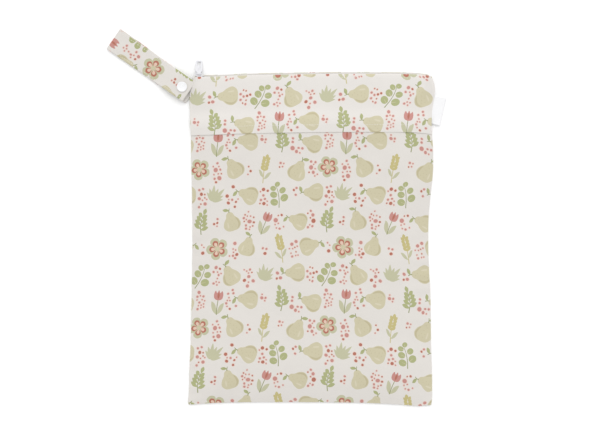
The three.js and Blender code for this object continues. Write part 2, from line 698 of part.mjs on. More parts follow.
// Strap frame: local X runs out from the seam, local Y across the ribbon, local Z up.
const strapV = 1 - STRAP_DROP / BAG_HEIGHT;
const strapAngle = THREE.MathUtils.degToRad(180 - STRAP_ANGLE);
const strap = new THREE.Group();
strap.position.set(leftX(strapV), planY(0, strapV), 0);
strap.rotation.z = strapAngle;
bag.add(strap);
strap.updateMatrixWorld(true);

// The bag's outline with its clearance, in the frame of a piece that meets the seam.
function keepOutFor(group) {
  const outline = extrude(planOutline(GAP), 2 * MOUTH_HEIGHT).translate(0, 0, -MOUTH_HEIGHT);
  return toSolid(outline.applyMatrix4(group.matrixWorld.clone().invert()));
}

function strapGeometry() {
  const ribbon = extrude(strapProfile(), STRAP_WIDTH).rotateX(Math.PI / 2).translate(0, STRAP_WIDTH / 2, 0);
  const tuck = boxAt(STRAP_WIDTH, STRAP_WIDTH, STRAP_CLOTH, -STRAP_WIDTH / 2, 0, SEAM_LIFT + STRAP_CLOTH / 2);
  const hole = new THREE.CylinderGeometry(1, 1, 4 * MOUTH_HEIGHT, ROUND_STEPS);
  const radius = SNAP_PIN_DIAMETER / 2 + GAP;
  hole.scale(radius, 1, radius).rotateX(Math.PI / 2).translate(SNAP_FROM_SEAM, 0, 0);
  return toGeometry(join([ribbon, tuck]).subtract(keepOutFor(strap)).subtract(toSolid(hole)));
}

addMesh(strap, 'strap', strapGeometry(), clothMaterial(0xe3e1da));

// Snap halves, as turned profiles about the snap's own axis.
function turned(profile) {
  const points = profile.map(([r, z]) => new THREE.Vector2(r, z));
  return new THREE.LatheGeometry(points, ROUND_STEPS).rotateX(Math.PI / 2);
}

function capProfile(pinLength) {
  const r = SNAP_CAP_DIAMETER / 2;
  const h = SNAP_CAP_HEIGHT;
  const pin = SNAP_PIN_DIAMETER / 2;
  return [
    [0, -pinLength], [pin, -pinLength], [pin, 0], [r - 0.2, 0], [r, 0.3 * h], [r - 0.3, 0.75 * h],
    [r - 1.1, h], [0.55 * r, h - SNAP_DISHING], [0, h - 1.2 * SNAP_DISHING],
  ];
}

const capGeometry = turned(capProfile(STRAP_CLOTH + GAP));
const snapMaterial = plasticMaterial(0xf5f4f1);
const upperCap = SNAP_LIFT + 2 * STRAP_CLOTH + SNAP_SPREAD + GAP;
const snap = new THREE.Group();
snap.position.set(SNAP_FROM_SEAM, 0, 0);
strap.add(snap);

const cap = addMesh(snap, 'snap_cap', capGeometry, snapMaterial.clone());
cap.position.z = upperCap;
const backCap = addMesh(snap, 'snap_back_cap', capGeometry, snapMaterial.clone());
backCap.rotation.x = Math.PI;
backCap.position.z = SNAP_CAP_HEIGHT;

const bodyR = SNAP_BODY_DIAMETER / 2;
const knobR = SNAP_KNOB_DIAMETER / 2;
const studZ = SNAP_LIFT + STRAP_CLOTH + GAP;
const socketZ = studZ + SNAP_STUD_HEIGHT + GAP;
const stud = addMesh(snap, 'snap_stud', turned([
  [0, 0], [bodyR, 0], [bodyR, SNAP_STUD_HEIGHT], [knobR - 0.2, SNAP_STUD_HEIGHT],
  [knobR, SNAP_STUD_HEIGHT + 0.6 * SNAP_KNOB_HEIGHT], [0, SNAP_STUD_HEIGHT + SNAP_KNOB_HEIGHT],
]), snapMaterial.clone());
stud.position.z = studZ;
const socket = addMesh(snap, 'snap_socket', turned([
  [knobR + GAP, 0], [bodyR, 0], [bodyR, 0.8 * SNAP_SOCKET_HEIGHT], [bodyR - 0.5, SNAP_SOCKET_HEIGHT],
  [knobR + GAP, SNAP_SOCKET_HEIGHT], [knobR + GAP, 0],
]), snapMaterial.clone());
socket.position.z = socketZ;

// Label: a ribbon folded on itself, its two ends in the right side seam.
function labelProfile() {
  const bend = LABEL_CLOTH + GAP / 2;
  const turnS = LABEL_REACH - bend;
  const profile = new THREE.Shape();
  profile.moveTo(-LABEL_REACH, 0);
  profile.lineTo(turnS, 0);
  profile.absarc(turnS, bend, bend, -Math.PI / 2, Math.PI / 2);
  profile.lineTo(-LABEL_REACH, 2 * bend);
  profile.lineTo(-LABEL_REACH, LABEL_CLOTH + GAP);
  profile.lineTo(turnS, LABEL_CLOTH + GAP);
  profile.absarc(turnS, bend, GAP / 2, Math.PI / 2, -Math.PI / 2, true);
  profile.lineTo(-LABEL_REACH, LABEL_CLOTH);
  return profile;
}

const labelV = 1 - LABEL_DROP / BAG_HEIGHT;
const label = new THREE.Group();
label.position.set(rightX(labelV), planY(1, labelV), 0);
label.rotation.z = -THREE.MathUtils.degToRad(LABEL_TILT);
bag.add(label);
label.updateMatrixWorld(true);
const ribbon = extrude(labelProfile(), LABEL_LENGTH).rotateX(Math.PI / 2).translate(0, LABEL_LENGTH / 2, 0);
const labelCut = toSolid(ribbon).subtract(keepOutFor(label));
addMesh(label, 'side_label', toGeometry(labelCut), clothMaterial(0xf6f6f6));

export default bag;
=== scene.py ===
import math

import bpy
import numpy as np
from mathutils import Matrix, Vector
from mathutils.geometry import delaunay_2d_cdt


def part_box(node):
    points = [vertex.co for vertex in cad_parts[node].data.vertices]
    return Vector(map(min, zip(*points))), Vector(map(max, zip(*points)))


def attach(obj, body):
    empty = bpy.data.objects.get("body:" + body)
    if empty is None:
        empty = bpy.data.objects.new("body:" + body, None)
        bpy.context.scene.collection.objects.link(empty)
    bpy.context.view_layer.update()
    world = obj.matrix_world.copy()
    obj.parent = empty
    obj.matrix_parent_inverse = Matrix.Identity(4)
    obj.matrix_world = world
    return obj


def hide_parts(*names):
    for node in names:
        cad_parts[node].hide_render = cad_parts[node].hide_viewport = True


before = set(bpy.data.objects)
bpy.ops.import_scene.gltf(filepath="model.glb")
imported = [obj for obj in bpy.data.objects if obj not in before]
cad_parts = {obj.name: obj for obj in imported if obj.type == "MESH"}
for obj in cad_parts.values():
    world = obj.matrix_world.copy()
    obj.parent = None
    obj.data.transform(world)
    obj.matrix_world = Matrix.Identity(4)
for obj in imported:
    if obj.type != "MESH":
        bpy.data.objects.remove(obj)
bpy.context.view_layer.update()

# Lengths below are millimetres on the bag, and MM turns them into the scene's metres.
MM = 0.001

# The cloth's named sizes, as in the model's source.
BAG_WIDTH = 292.0
BAG_HEIGHT = 400.0
CLOTH = 1.0
GAP = 0.3
LOFT = 7.8
MOUTH_HEIGHT = 12.0
SIDE_REACH = 46.0
BOTTOM_REACH = 58.0
MOUTH_BLEND = 60.0
MOUTH_SIDE_REACH = 6.0
UPPER_DEPTH = 70.0
HEM = 10.0
FLAP_OVERLAP = 13.0
FLAP_BLEND = 16.0
BACK_PEEK = 3.0
LIP_RADIUS = 1.4
TAPE = 0.7
TAPE_TURN = 1.2
TAPE_LIMB = 9.0
STRAP_WIDTH = 27.0
STRAP_LENGTH = 113.0
STRAP_CLOTH = 1.2
STRAP_ANGLE = 34.7
STRAP_DROP = 20.6
STRAP_FREE_END = 1.2
STRAP_RAMP = 26.0
SNAP_CAP_DIAMETER = 12.4
SNAP_CAP_HEIGHT = 1.3
SNAP_FROM_SEAM = 11.0
SNAP_SPREAD = 3.3
LABEL_CLOTH = 1.0
LABEL_LENGTH = 33.0
LABEL_REACH = 13.6
LABEL_DROP = 43.0
LABEL_TILT = 13.0

# Radius of a seam's rolled edge, and how far apart the cloth mesh's points lie.
SEAM_ROLL = 0.5
CLOTH_SPACING = 3.4

# Outline in plan: share of the height, then left and right as shares of the width.
SIDE_EDGES = np.array([
    (0.000, 0.5060, 0.5010), (0.012, 0.5080, 0.5035), (0.040, 0.5044, 0.5046), (0.090, 0.5028, 0.5044),
    (0.190, 0.4972, 0.5002), (0.320, 0.4934, 0.4981), (0.400, 0.4912, 0.4925), (0.480, 0.4898, 0.4888),
    (0.560, 0.4900, 0.4899), (0.620, 0.4910, 0.4963), (0.680, 0.4927, 0.5056), (0.730, 0.4945, 0.5093),
    (0.780, 0.4952, 0.5083), (0.835, 0.4975, 0.5023), (0.885, 0.5006, 0.5046), (0.935, 0.5020, 0.5145),
    (0.958, 0.5002, 0.5160), (0.972, 0.4966, 0.5128), (0.984, 0.4915, 0.5066), (0.993, 0.4855, 0.4975),
    (1.000, 0.4770, 0.4850),
])

# Bow of the two ends: share of the width from the left, then top and bottom as shares of the height.
END_EDGES = np.array([
    (0.00, -0.0070, -0.0050), (0.03, -0.0060, -0.0035), (0.10, -0.0050, 0.0000), (0.22, -0.0015, 0.0026),
    (0.40, 0.0010, 0.0030), (0.60, 0.0030, 0.0022), (0.75, 0.0031, 0.0000), (0.88, 0.0026, -0.0050),
    (0.95, 0.0010, -0.0088), (1.00, -0.0030, -0.0060),
])

# Swells of the front: centre across and up, half width and half height, and lift as a share of the loft.
SWELLS = (
    (0.30, 0.28, 0.26, 0.16, 0.10), (0.70, 0.20, 0.22, 0.12, -0.12), (0.78, 0.50, 0.20, 0.09, -0.16),
    (0.82, 0.66, 0.20, 0.08, 0.10), (0.22, 0.55, 0.18, 0.12, -0.10), (0.50, 0.62, 0.22, 0.10, 0.06),
    (0.15, 0.84, 0.14, 0.06, -0.10),
)

# Puckers from the side seams: side, height, reach in, half height, and lift as a share of the loft.
PUCKERS = (
    (1, 0.475, 0.22, 0.030, -0.20), (1, 0.560, 0.18, 0.026, -0.14), (1, 0.730, 0.20, 0.034, 0.12),
    (1, 0.200, 0.16, 0.030, -0.10), (-1, 0.300, 0.16, 0.030, -0.12), (-1, 0.500, 0.20, 0.034, -0.16),
    (-1, 0.640, 0.14, 0.026, 0.10), (-1, 0.885, 0.12, 0.024, -0.12),
)

# Print inks and yarns, as the sRGB values that they show.
INKS = {
    "ground": (233, 230, 226),
    "khaki": (213, 207, 178),
    "khaki_dark": (199, 191, 159),
    "khaki_light": (222, 216, 192),
    "sage": (201, 201, 171),
    "olive": (180, 185, 138),
    "olive_dark": (158, 163, 121),
    "mustard": (204, 194, 139),
    "terracotta": (188, 122, 105),
    "rose": (206, 150, 143),
    "blush": (236, 218, 210),
    "peach": (232, 206, 188),
}


# Reading the tables: the same smooth curve through their rows as the model's source draws.
def read_table(table, column, at):
    keys = table[:, 0]
    values = table[:, column]
    slopes = np.empty_like(values)
    slopes[1:-1] = (values[2:] - values[:-2]) / (keys[2:] - keys[:-2])
    slopes[0] = (values[1] - values[0]) / (keys[1] - keys[0])
    slopes[-1] = (values[-1] - values[-2]) / (keys[-1] - keys[-2])
    place = np.clip(at, keys[0], keys[-1])
    row = np.clip(np.searchsorted(keys, place, side="left") - 1, 0, len(keys) - 2)
    span = keys[row + 1] - keys[row]
    t = (place - keys[row]) / span
    a = 2 * t**3 - 3 * t**2 + 1
    b = t**3 - 2 * t**2 + t
    c = -2 * t**3 + 3 * t**2
    d = t**3 - t**2
    return a * values[row] + b * span * slopes[row] + c * values[row + 1] + d * span * slopes[row + 1]


def smooth(t):
    held = np.clip(t, 0.0, 1.0)
    return held * held * (3 - 2 * held)


def mix(start, end, t):
    return start + (end - start) * t


def rise(distance, reach):
    return 1 - (1 - np.clip(distance / reach, 0.0, 1.0)) ** 2.2


def bell(offset, half):
    return np.exp(-((offset / half) ** 2))


def top_y(u):
    return BAG_HEIGHT * (0.5 + read_table(END_EDGES, 1, u))


def bottom_y(u):
    return BAG_HEIGHT * (-0.5 + read_table(END_EDGES, 2, u))


def left_x(v):
    return -BAG_WIDTH * read_table(SIDE_EDGES, 1, v)


def right_x(v):
    return BAG_WIDTH * read_table(SIDE_EDGES, 2, v)


def plan_x(u, v):
    return mix(left_x(v), right_x(v), u)


def plan_y(u, v):
    return mix(bottom_y(u), top_y(u), v)


def share_at_y(u, y):
    return (y - bottom_y(u)) / (top_y(u) - bottom_y(u))


def fold_y(u):
    return top_y(u) - BACK_PEEK


def flap_y(u):
    return fold_y(u) - UPPER_DEPTH


SEAM_STACK = 2 * CLOTH + GAP
MOUTH_STACK = SEAM_STACK + 2 * (TAPE + GAP)


# Small creases that the solid leaves out. Each is a run of ripples with its own heading and place.
def ripples(p, q, seed, count, longest, shortest, height):
    rng = np.random.RandomState(seed)
    total = np.zeros_like(p)
    for _ in range(count):
        length = math.exp(rng.uniform(math.log(shortest), math.log(longest)))
        heading = rng.uniform(0, math.pi)
        phase = rng.uniform(0, 2 * math.pi)
        bend = rng.uniform(0.3, 0.9) * length
        along = p * math.cos(heading) + q * math.sin(heading)
        over = -p * math.sin(heading) + q * math.cos(heading)
        bent = along + bend * np.sin(over / (1.7 * length) + phase)
        wave = np.sin(2 * math.pi * bent / length + phase)
        patch = 0.5 * np.sin(over / (2.3 * length) + 2.1 * phase) * np.sin(along / (3.1 * length) + phase)
        total += wave * (0.5 + patch) * height * (length / longest) ** 1.1
    return total / math.sqrt(count)


def seam_gathers(distance, along, seed, pitch, height, reach):
    """Short ripples that the stitches pull in along a seam, dying away from it."""
    rng = np.random.RandomState(seed)
    drift = sum(
        rng.uniform(0.3, 0.9) * np.sin(along / rng.uniform(18, 60) + rng.uniform(0, 6))
        for _ in range(4)
    )
    strength = 0.55 + 0.45 * np.sin(along / rng.uniform(30, 44) + rng.uniform(0, 6))
    wave = np.sin(2 * math.pi * along / pitch + 2.4 * drift)
    fade = np.exp(-((distance / reach) ** 2)) * np.clip(distance / 1.5, 0.15, 1)
    return height * strength * wave * fade


def front_height(u, v):
    to_left = u * BAG_WIDTH
    to_right = (1 - u) * BAG_WIDTH
    to_bottom = v * BAG_HEIGHT
    to_top = (1 - v) * BAG_HEIGHT
    mouth = 1 - smooth(to_top / MOUTH_BLEND)
    side_reach = mix(SIDE_REACH, MOUTH_SIDE_REACH, mouth)
    sides = rise(to_left, side_reach) * rise(to_right, side_reach)
    edge = mix(SEAM_STACK, MOUTH_STACK, mouth)
    full = mix(LOFT * rise(to_bottom, BOTTOM_REACH), MOUTH_HEIGHT - MOUTH_STACK, mouth)
    relief = np.zeros_like(u)
    for across, up, wide, tall, lift in SWELLS:
        relief += lift * bell(u - across, wide) * bell(v - up, tall)
    for side, up, reach, tall, lift in PUCKERS:
        inward = (to_right if side > 0 else to_left) / BAG_WIDTH
        relief += lift * bell(inward, reach) * bell(v - up, tall)
    return edge + sides * (full + LOFT * relief * (1 - mouth) * rise(to_bottom, BOTTOM_REACH))


CREASE_REACH = 30
CREASE_TOP_REACH = 22


def front_creases(u, v):
    """Creases of the front wall, nothing at its sewn edges."""
    to_left = u * BAG_WIDTH
    to_right = (1 - u) * BAG_WIDTH
    to_bottom = v * BAG_HEIGHT
    to_top = (1 - v) * BAG_HEIGHT
    inside = rise(to_left, CREASE_REACH) * rise(to_right, CREASE_REACH)
    inside = inside * rise(to_bottom, CREASE_REACH) * rise(to_top, CREASE_TOP_REACH)
    creases = inside * ripples(
        to_left, to_bottom, seed=11, count=16, longest=84, shortest=17, height=0.95,
    )
    creases += seam_gathers(to_left, to_bottom, seed=21, pitch=17, height=0.42, reach=15)
    creases += seam_gathers(to_right, to_bottom, seed=22, pitch=19, height=0.46, reach=16)
    creases += seam_gathers(to_bottom, to_left, seed=23, pitch=18, height=0.40, reach=14)
    return creases


# Print: plain garden motifs, each a list of (ink, outline) round its own centre.
def closed_curve(points, steps=7):
    """Smooth closed outline through a few points."""
    points = np.array(points, float)
    before, after, last = np.roll(points, 1, 0), np.roll(points, -1, 0), np.roll(points, -2, 0)
    rows = []
    for k in range(steps):
        t = k / steps
        rows.append(0.5 * (
            2 * points + (after - before) * t
            + (2 * before - 5 * points + 4 * after - last) * t**2
            + (3 * points - before - 3 * after + last) * t**3
        ))
    return np.stack(rows, 1).reshape(-1, 2)


def disc(x, y, radius, sides=14, squeeze=1.0, turn=0.0):
    angles = np.linspace(0, 2 * math.pi, sides, endpoint=False)
    flat = np.stack([radius * np.cos(angles), radius * squeeze * np.sin(angles)], 1)
    return flat @ turned(turn) + (x, y)


def turned(angle):
    c, s = math.cos(angle), math.sin(angle)
    return np.array([(c, s), (-s, c)])


def leaf(x, y, angle, length, width, bend=0.0, fullness=0.5, steps=13):
    """Pointed leaf from its stalk at x, y, heading angle."""
    t = 0.5 - 0.5 * np.cos(np.linspace(0, math.pi, steps))
    half = 0.5 * width * np.sin(math.pi * t ** (0.6 + fullness)) ** 0.85
    middle = np.stack([t * length, bend * length * np.sin(math.pi * t * 0.5) ** 2], 1)
    upper = middle + np.stack([np.zeros(steps), half], 1)
    lower = (middle - np.stack([np.zeros(steps), half], 1))[::-1]
    outline = np.concatenate([lower[1:], upper[1:-1]])
    return outline @ turned(angle) + (x, y)


def stroke(points, start, end, steps=6):
    """Tapered line through points, start wide at its first and end wide at its last."""
    points = np.array(points, float)
    t = np.linspace(0, len(points) - 1, steps)
    line = np.stack([np.interp(t, range(len(points)), points[:, k]) for k in (0, 1)], 1)
    ahead = np.gradient(line, axis=0)
    ahead /= np.linalg.norm(ahead, axis=1)[:, None]
    side = np.stack([-ahead[:, 1], ahead[:, 0]], 1) * (0.5 * np.linspace(start, end, steps))[:, None]
    return np.concatenate([line - side, (line + side)[::-1]])


def pear():
    body = closed_curve([
        (0, -13.5), (7.5, -12.4), (11.8, -6.6), (10.6, 0.2), (6.4, 5.6), (4.6, 10.2), (0.6, 12.6),
        (-3.6, 10.6), (-5.6, 5.8), (-9.8, 0.6), (-11.9, -6.2), (-7.6, -12.2),
    ])
    shade = closed_curve([
        (4.0, -12.5), (8.4, -10.4), (10.9, -6.4), (9.8, -0.4), (6.6, 3.4), (8.0, -1.6), (8.4, -6.4),
        (6.6, -10.0),
    ])
    glow = closed_curve([(-6.9, -7.4), (-5.4, -8.6), (-4.5, -4.6), (-4.7, -0.4), (-6.1, -1.9)], 5)
    marks = [(-0.6, -8.2), (2.6, -4.6), (-1.8, -3.6), (1.2, 0.4), (-1.2, 4.8), (4.2, -8.4), (1.6, 7.0)]
    parts = [("khaki", body), ("khaki_dark", shade), ("khaki_light", glow)]
    parts += [("khaki_dark", disc(x, y, 0.6, 6, 0.8)) for x, y in marks]
    parts.append(("olive_dark", stroke([(0.4, 11.6), (0.8, 14.0), (2.4, 17.0)], 1.3, 0.9)))
    parts.append(("olive", leaf(1.2, 14.0, 2.55, 9.0, 4.4, 0.12)))
    parts.append(("olive_dark", stroke([(0.4, 14.6), (-2.8, 16.8), (-4.6, 17.8)], 0.45, 0.2)))
    return parts


def blossom():
    parts = []
    outer = [(1.5, 0), (5.6, -4.6), (10.6, -5.1), (13.2, -1.6), (13.2, 1.6), (10.6, 5.1), (5.6, 4.6)]
    inner = [(2.2, 0), (4.8, -2.9), (7.8, -3.3), (9.7, -1.0), (9.7, 1.0), (7.8, 3.3), (4.8, 2.9)]
    heart = [(2.2, 0), (4.6, -1.7), (6.6, -1.6), (7.6, 0), (6.6, 1.6), (4.6, 1.7)]
    for ink, petal in (("sage", outer), ("terracotta", inner), ("peach", heart)):
        for k in range(5):
            parts.append((ink, closed_curve(petal, 4) @ turned(2 * math.pi * k / 5 + 0.3)))
    parts.append(("khaki", disc(0, 0, 2.9, 14)))
    for a in np.arange(5) * 1.257:
        parts.append(("khaki_dark", disc(1.6 * math.cos(a), 1.6 * math.sin(a), 0.45, 6)))
    return parts


def sprig():
    """Curved twig with pairs of oval leaves."""
    spine_y = [-15, -6, 3, 10]
    spine_x = [-2.4, 0.4, 0.6, -1.0]
    parts = [("olive_dark", stroke(list(zip(spine_x, spine_y)), 1.2, 0.6, 8))]
    for k in range(4):
        t = k / 3
        y = mix(-8.0, 6.0, t)
        x = np.interp(y, spine_y, spine_x)
        length = mix(10.5, 7.5, t)
        parts.append(("olive", leaf(x, y, mix(0.35, 0.6, t), length, 5.0, 0.14, 0.6)))
        parts.append(("olive", leaf(x, y - 1.5, math.pi - mix(0.35, 0.6, t), length, 5.0, -0.14, 0.6)))
    parts.append(("olive", leaf(-1.0, 9.0, 1.75, 8.5, 4.6, 0.0, 0.6)))
    return parts


def wheat():
    parts = [("mustard", stroke([(2.0, -17), (0.4, -7), (-0.6, 3), (0.0, 9)], 1.1, 0.7, 8))]
    for k in range(4):
        y = -1.5 + 4.2 * k
        parts.append(("mustard", leaf(-0.4, y, 0.85, 7.6, 4.0, 0.05, 0.7)))
        parts.append(("mustard", leaf(-0.4, y, math.pi - 0.85, 7.6, 4.0, -0.05, 0.7)))
    parts.append(("mustard", leaf(0.0, 13.0, 1.57, 7.6, 4.2, 0.0, 0.7)))
    parts.append(("sage", leaf(1.4, -12.0, 0.75, 13.0, 4.2, 0.2)))
    parts.append(("sage", leaf(1.2, -10.0, 2.5, 12.0, 3.8, -0.2)))
    return parts


def round_leaves():
    parts = [("olive_dark", stroke([(-2, -15), (0, -6), (0.6, 3), (-0.4, 11)], 1.1, 0.6, 8))]
    places = [
        (-6.6, -7.0, 5.0), (6.8, -4.2, 5.2), (-5.6, 2.4, 4.6), (6.2, 5.4, 4.3), (-4.8, 10.2, 3.7),
        (1.2, 14.2, 3.5),
    ]
    for x, y, radius in places:
        parts.append(("olive", disc(x, y, radius, 16, 0.86, 0.5 if x > 0 else -0.5)))
        vein = [(0.35 * x, y - 0.5 * radius), (1.1 * x, y + 0.1 * radius)]
        parts.append(("khaki", stroke(vein, 0.6, 0.3, 4)))
    return parts


def tulip():
    cup = closed_curve([
        (0, 1.2), (4.4, 2.8), (5.6, 7.8), (4.0, 12.4), (1.9, 9.8), (0, 13.2), (-1.9, 9.8), (-4.0, 12.4),
        (-5.6, 7.8), (-4.4, 2.8),
    ], 4)
    parts = [("sage", leaf(0.2, -15.5, 0.95, 16.5, 5.6, 0.16))]
    parts.append(("sage", leaf(-0.2, -15.5, 2.2, 15.5, 5.4, -0.16)))
    parts.append(("olive_dark", stroke([(0, -16), (0.4, -6), (0, 2)], 1.1, 0.8)))
    parts.append(("rose", cup))
    parts.append(("terracotta", leaf(0, 2.4, 1.57, 8.2, 2.6)))
    return parts


def grass():
    parts = []
    blades = [
        (2.75, 13, 4.0), (2.35, 16, 4.6), (1.95, 20, 4.8), (1.55, 17, 4.8), (1.15, 21, 4.8), (0.75, 15, 4.6),
        (0.38, 13, 4.0),
    ]
    for angle, length, width in blades:
        parts.append(("sage", leaf(0, -9, angle, length, width, 0.14 * (1.57 - angle), 0.2)))
    return parts


def berries(rng, count, spread):
    """Loose handful of small dots, each on a blush of its own: (x, y, radius, parts) for every dot."""
    dots = []
    placed = []
    for _ in range(200):
        if len(placed) == count:
            break
        radius = rng.choice([1.0, 1.5, 2.1, 2.7], p=[0.24, 0.34, 0.28, 0.14])
        angle = rng.uniform(0, 2 * math.pi)
        away = spread * math.sqrt(rng.uniform(0.02, 1))
        x, y = 0.78 * away * math.cos(angle), 1.2 * away * math.sin(angle)
        if all(math.hypot(x - a, y - b) > radius + r + 0.9 for a, b, r in placed):
            placed.append((x, y, radius))
            ink = rng.choice(["rose", "terracotta"], p=[0.76, 0.24])
            squeeze = rng.uniform(0.82, 1.0)
            turn = rng.uniform(0, 3)
            halo = ("blush", disc(x, y, radius + 0.9, 16, squeeze, turn))
            dots.append((x, y, radius, [halo, (ink, disc(x, y, radius, 16, squeeze, turn))]))
    return dots


# One repeat of the print. Each row of motifs starts half a pitch over from the one below.
MOTIF_PITCH = 39.0
MOTIF_RISE = 32.0
MOTIF_ROWS = (
    (pear, blossom, pear, wheat),
    (sprig, pear, tulip, pear),
    (pear, grass, pear, round_leaves),
    (blossom, pear, wheat, pear),
    (pear, tulip, pear, sprig),
    (round_leaves, pear, grass, pear),
)
REPEAT_COLUMNS = len(MOTIF_ROWS[0])
REPEAT_ROWS = len(MOTIF_ROWS)


def placed_motif(i, j):
    """The motif of one cell of the repeat round the cell's own centre, then its handful of berries."""
    rng = np.random.RandomState(97 * (j % REPEAT_ROWS) + 13 * (i % REPEAT_COLUMNS) + 5)
    motif = MOTIF_ROWS[j % REPEAT_ROWS][i % REPEAT_COLUMNS]
    x, y = rng.uniform(-2.6, 2.6, 2)
    tilt = rng.uniform(-0.5, 0.5)
    if motif is pear:
        tilt = rng.choice([-1.5, -0.9, -0.3, 0.5, 1.1, 1.6]) + rng.uniform(-0.2, 0.2)
    flip = rng.choice([-1, 1])
    scale = rng.uniform(0.94, 1.04) * (0.94 if motif is pear else 1.0)
    parts = [(ink, (outline * (flip * scale, scale)) @ turned(tilt) + (x, y)) for ink, outline in motif()]
    bx = 0.5 * MOTIF_PITCH + rng.uniform(-1.5, 1.5)
    by = rng.uniform(-4, 4)
    few = rng.uniform() < 0.4
    count = 4 if few else rng.choice([11, 14, 18])
    handful = berries(rng, count, 4.4 if few else rng.uniform(8.6, 10.4))
    moved = [
        (x + bx, y + by, radius, [(ink, outline + (bx, by)) for ink, outline in dot])
        for x, y, radius, dot in handful
    ]
    return parts, moved


# A berry is left out where its edge would come this near a motif, or its centre this near a motif's.
BERRY_CLEARANCE = 1.4
MOTIF_CORE = 9.0


def print_layout(width, height, start):
    """Every printed shape of one cut piece, as (ink, outline) in the order that they go on."""
    parts = []
    centres = []
    handfuls = []
    for j in range(-2, int((height + start[1]) / MOTIF_RISE) + 3):
        for i in range(-2, int((width + start[0]) / MOTIF_PITCH) + 3):
            x = (i + 0.5 * (j % 2)) * MOTIF_PITCH - start[0]
            y = j * MOTIF_RISE - start[1]
            if -MOTIF_PITCH < x < width + MOTIF_PITCH and -MOTIF_PITCH < y < height + MOTIF_PITCH:
                motif, handful = placed_motif(i, j)
                centres.append((x, y))
                parts += [(ink, outline + (x, y)) for ink, outline in motif]
                handfuls += [(x + a, y + b, radius, x, y, dot) for a, b, radius, dot in handful]
    printed = np.concatenate([outline for _, outline in parts])
    cores = np.array(centres)
    for a, b, radius, x, y, dot in handfuls:
        to_print = np.hypot(printed[:, 0] - a, printed[:, 1] - b).min()
        to_core = np.hypot(cores[:, 0] - a, cores[:, 1] - b).min()
        if to_print > radius + BERRY_CLEARANCE and to_core > MOTIF_CORE:
            parts += [(ink, outline + (x, y)) for ink, outline in dot]
    return parts


def linear(ink):
    return [((c / 255 + 0.055) / 1.055) ** 2.4 if c > 10 else c / 255 / 12.92 for c in INKS[ink]] + [1.0]


def grid_rim(rows, columns):
    """Indices round the edge of a grid of points, anticlockwise from its first one."""
    rim = list(range(columns - 1))
    rim += [j * columns + columns - 1 for j in range(rows - 1)]
    rim += [(rows - 1) * columns + i for i in range(columns - 1, 0, -1)]
    rim += [j * columns for j in range(rows - 1, 0, -1)]
    return rim


def flat_cloth(width, height, spacing, layout):
    """Points and triangles of a flat cut of cloth, split along every printed edge, with each face's ink."""
    columns = max(int(round(width / spacing)), 2)
    rows = max(int(round(height / spacing)), 2)
    xs = np.linspace(0, width, columns + 1)
    ys = np.linspace(0, height, rows + 1)
    grid = np.stack(np.meshgrid(xs, ys), -1)
    grid[1:-1:2, 1:-1, 0] += 0.25 * spacing
    grid[2:-1:2, 1:-1, 0] -= 0.25 * spacing
    points = [tuple(p) for p in grid.reshape(-1, 2)]
    faces = [grid_rim(rows + 1, columns + 1)]
    inks = ["ground"]
    for ink, outline in layout:
        if outline[:, 0].max() < 0 or outline[:, 0].min() > width:
            continue
        if outline[:, 1].max() < 0 or outline[:, 1].min() > height:
            continue
        after = np.roll(outline, -1, 0)
        if (outline[:, 0] * after[:, 1] - outline[:, 1] * after[:, 0]).sum() < 0:
            outline = outline[::-1]
        faces.append(list(range(len(points), len(points) + len(outline))))
        points.extend(tuple(p) for p in outline)
        inks.append(ink)
    verts, _, tris, _, _, origins = delaunay_2d_cdt(points, [], faces, 1, 1e-4)
    kept = [(t, max(o)) for t, o in zip(tris, origins) if 0 in o]
    used = sorted({v for t, _ in kept for v in t})
    place = {v: k for k, v in enumerate(used)}
    flat = np.array([tuple(verts[v]) for v in used])
    flat[:, 0] = np.clip(flat[:, 0], 0, width)
    flat[:, 1] = np.clip(flat[:, 1], 0, height)
    triangles = []
    for t, _ in kept:
        a, b, c = (place[v] for v in t)
        area = np.cross(flat[b] - flat[a], flat[c] - flat[a])
        triangles.append((a, b, c) if area > 0 else (a, c, b))
    return flat, triangles, [inks[o] for _, o in kept]


# Profiles of a rolled edge: how far out and how far down the cloth goes, step by step.
# A step with a negative distance out lies that far in from the edge, following the cloth.
def half_roll(radius, under, steps=7, rows_under=3):
    angles = np.linspace(0, math.pi, steps + 1)[1:]
    rows = [(radius * math.sin(a), radius * (1 - math.cos(a))) for a in angles]
    rows += [(-under * (k + 1) / rows_under, 2 * radius) for k in range(rows_under)]
    return rows


def lip_roll(radius, depth, cloth, steps=4):
    angles = np.linspace(0, math.pi / 2, steps + 1)[1:]
    rows = [(radius * math.sin(a), radius * (1 - math.cos(a))) for a in angles]
    rows.append((radius, radius + depth))
    rows.append((radius - 0.5 * cloth, radius + depth + 0.35 * cloth))
    rows.append((radius - cloth, radius + depth))
    rows.append((radius - cloth, radius))
    return rows


def edge_frames(flat, rim, width, height, place, up):
    """Outward and downward directions at each point of the rim, in the placed cloth."""
    step = 0.25
    base = place(flat[rim, 0], flat[rim, 1])
    p = flat[rim, 0]
    q = flat[rim, 1]
    left, right = p < 1e-3, p > width - 1e-3
    bottom, top = q < 1e-3, q > height - 1e-3
    dp = place(np.clip(p + step, 0, width), q) - place(np.clip(p - step, 0, width), q)
    dq = place(p, np.clip(q + step, 0, height)) - place(p, np.clip(q - step, 0, height))
    dp /= np.linalg.norm(dp, axis=1)[:, None]
    dq /= np.linalg.norm(dq, axis=1)[:, None]
    out = (right.astype(float) - left)[:, None] * dp + (top.astype(float) - bottom)[:, None] * dq
    if up is None:
        normal = np.cross(dp, dq)
        normal /= np.linalg.norm(normal, axis=1)[:, None]
    else:
        normal = np.tile(np.array(up, float), (len(rim), 1))
        out -= (out * normal).sum(1)[:, None] * normal
    out /= np.linalg.norm(out, axis=1)[:, None]
    return base, out, normal, (left, right, bottom, top)


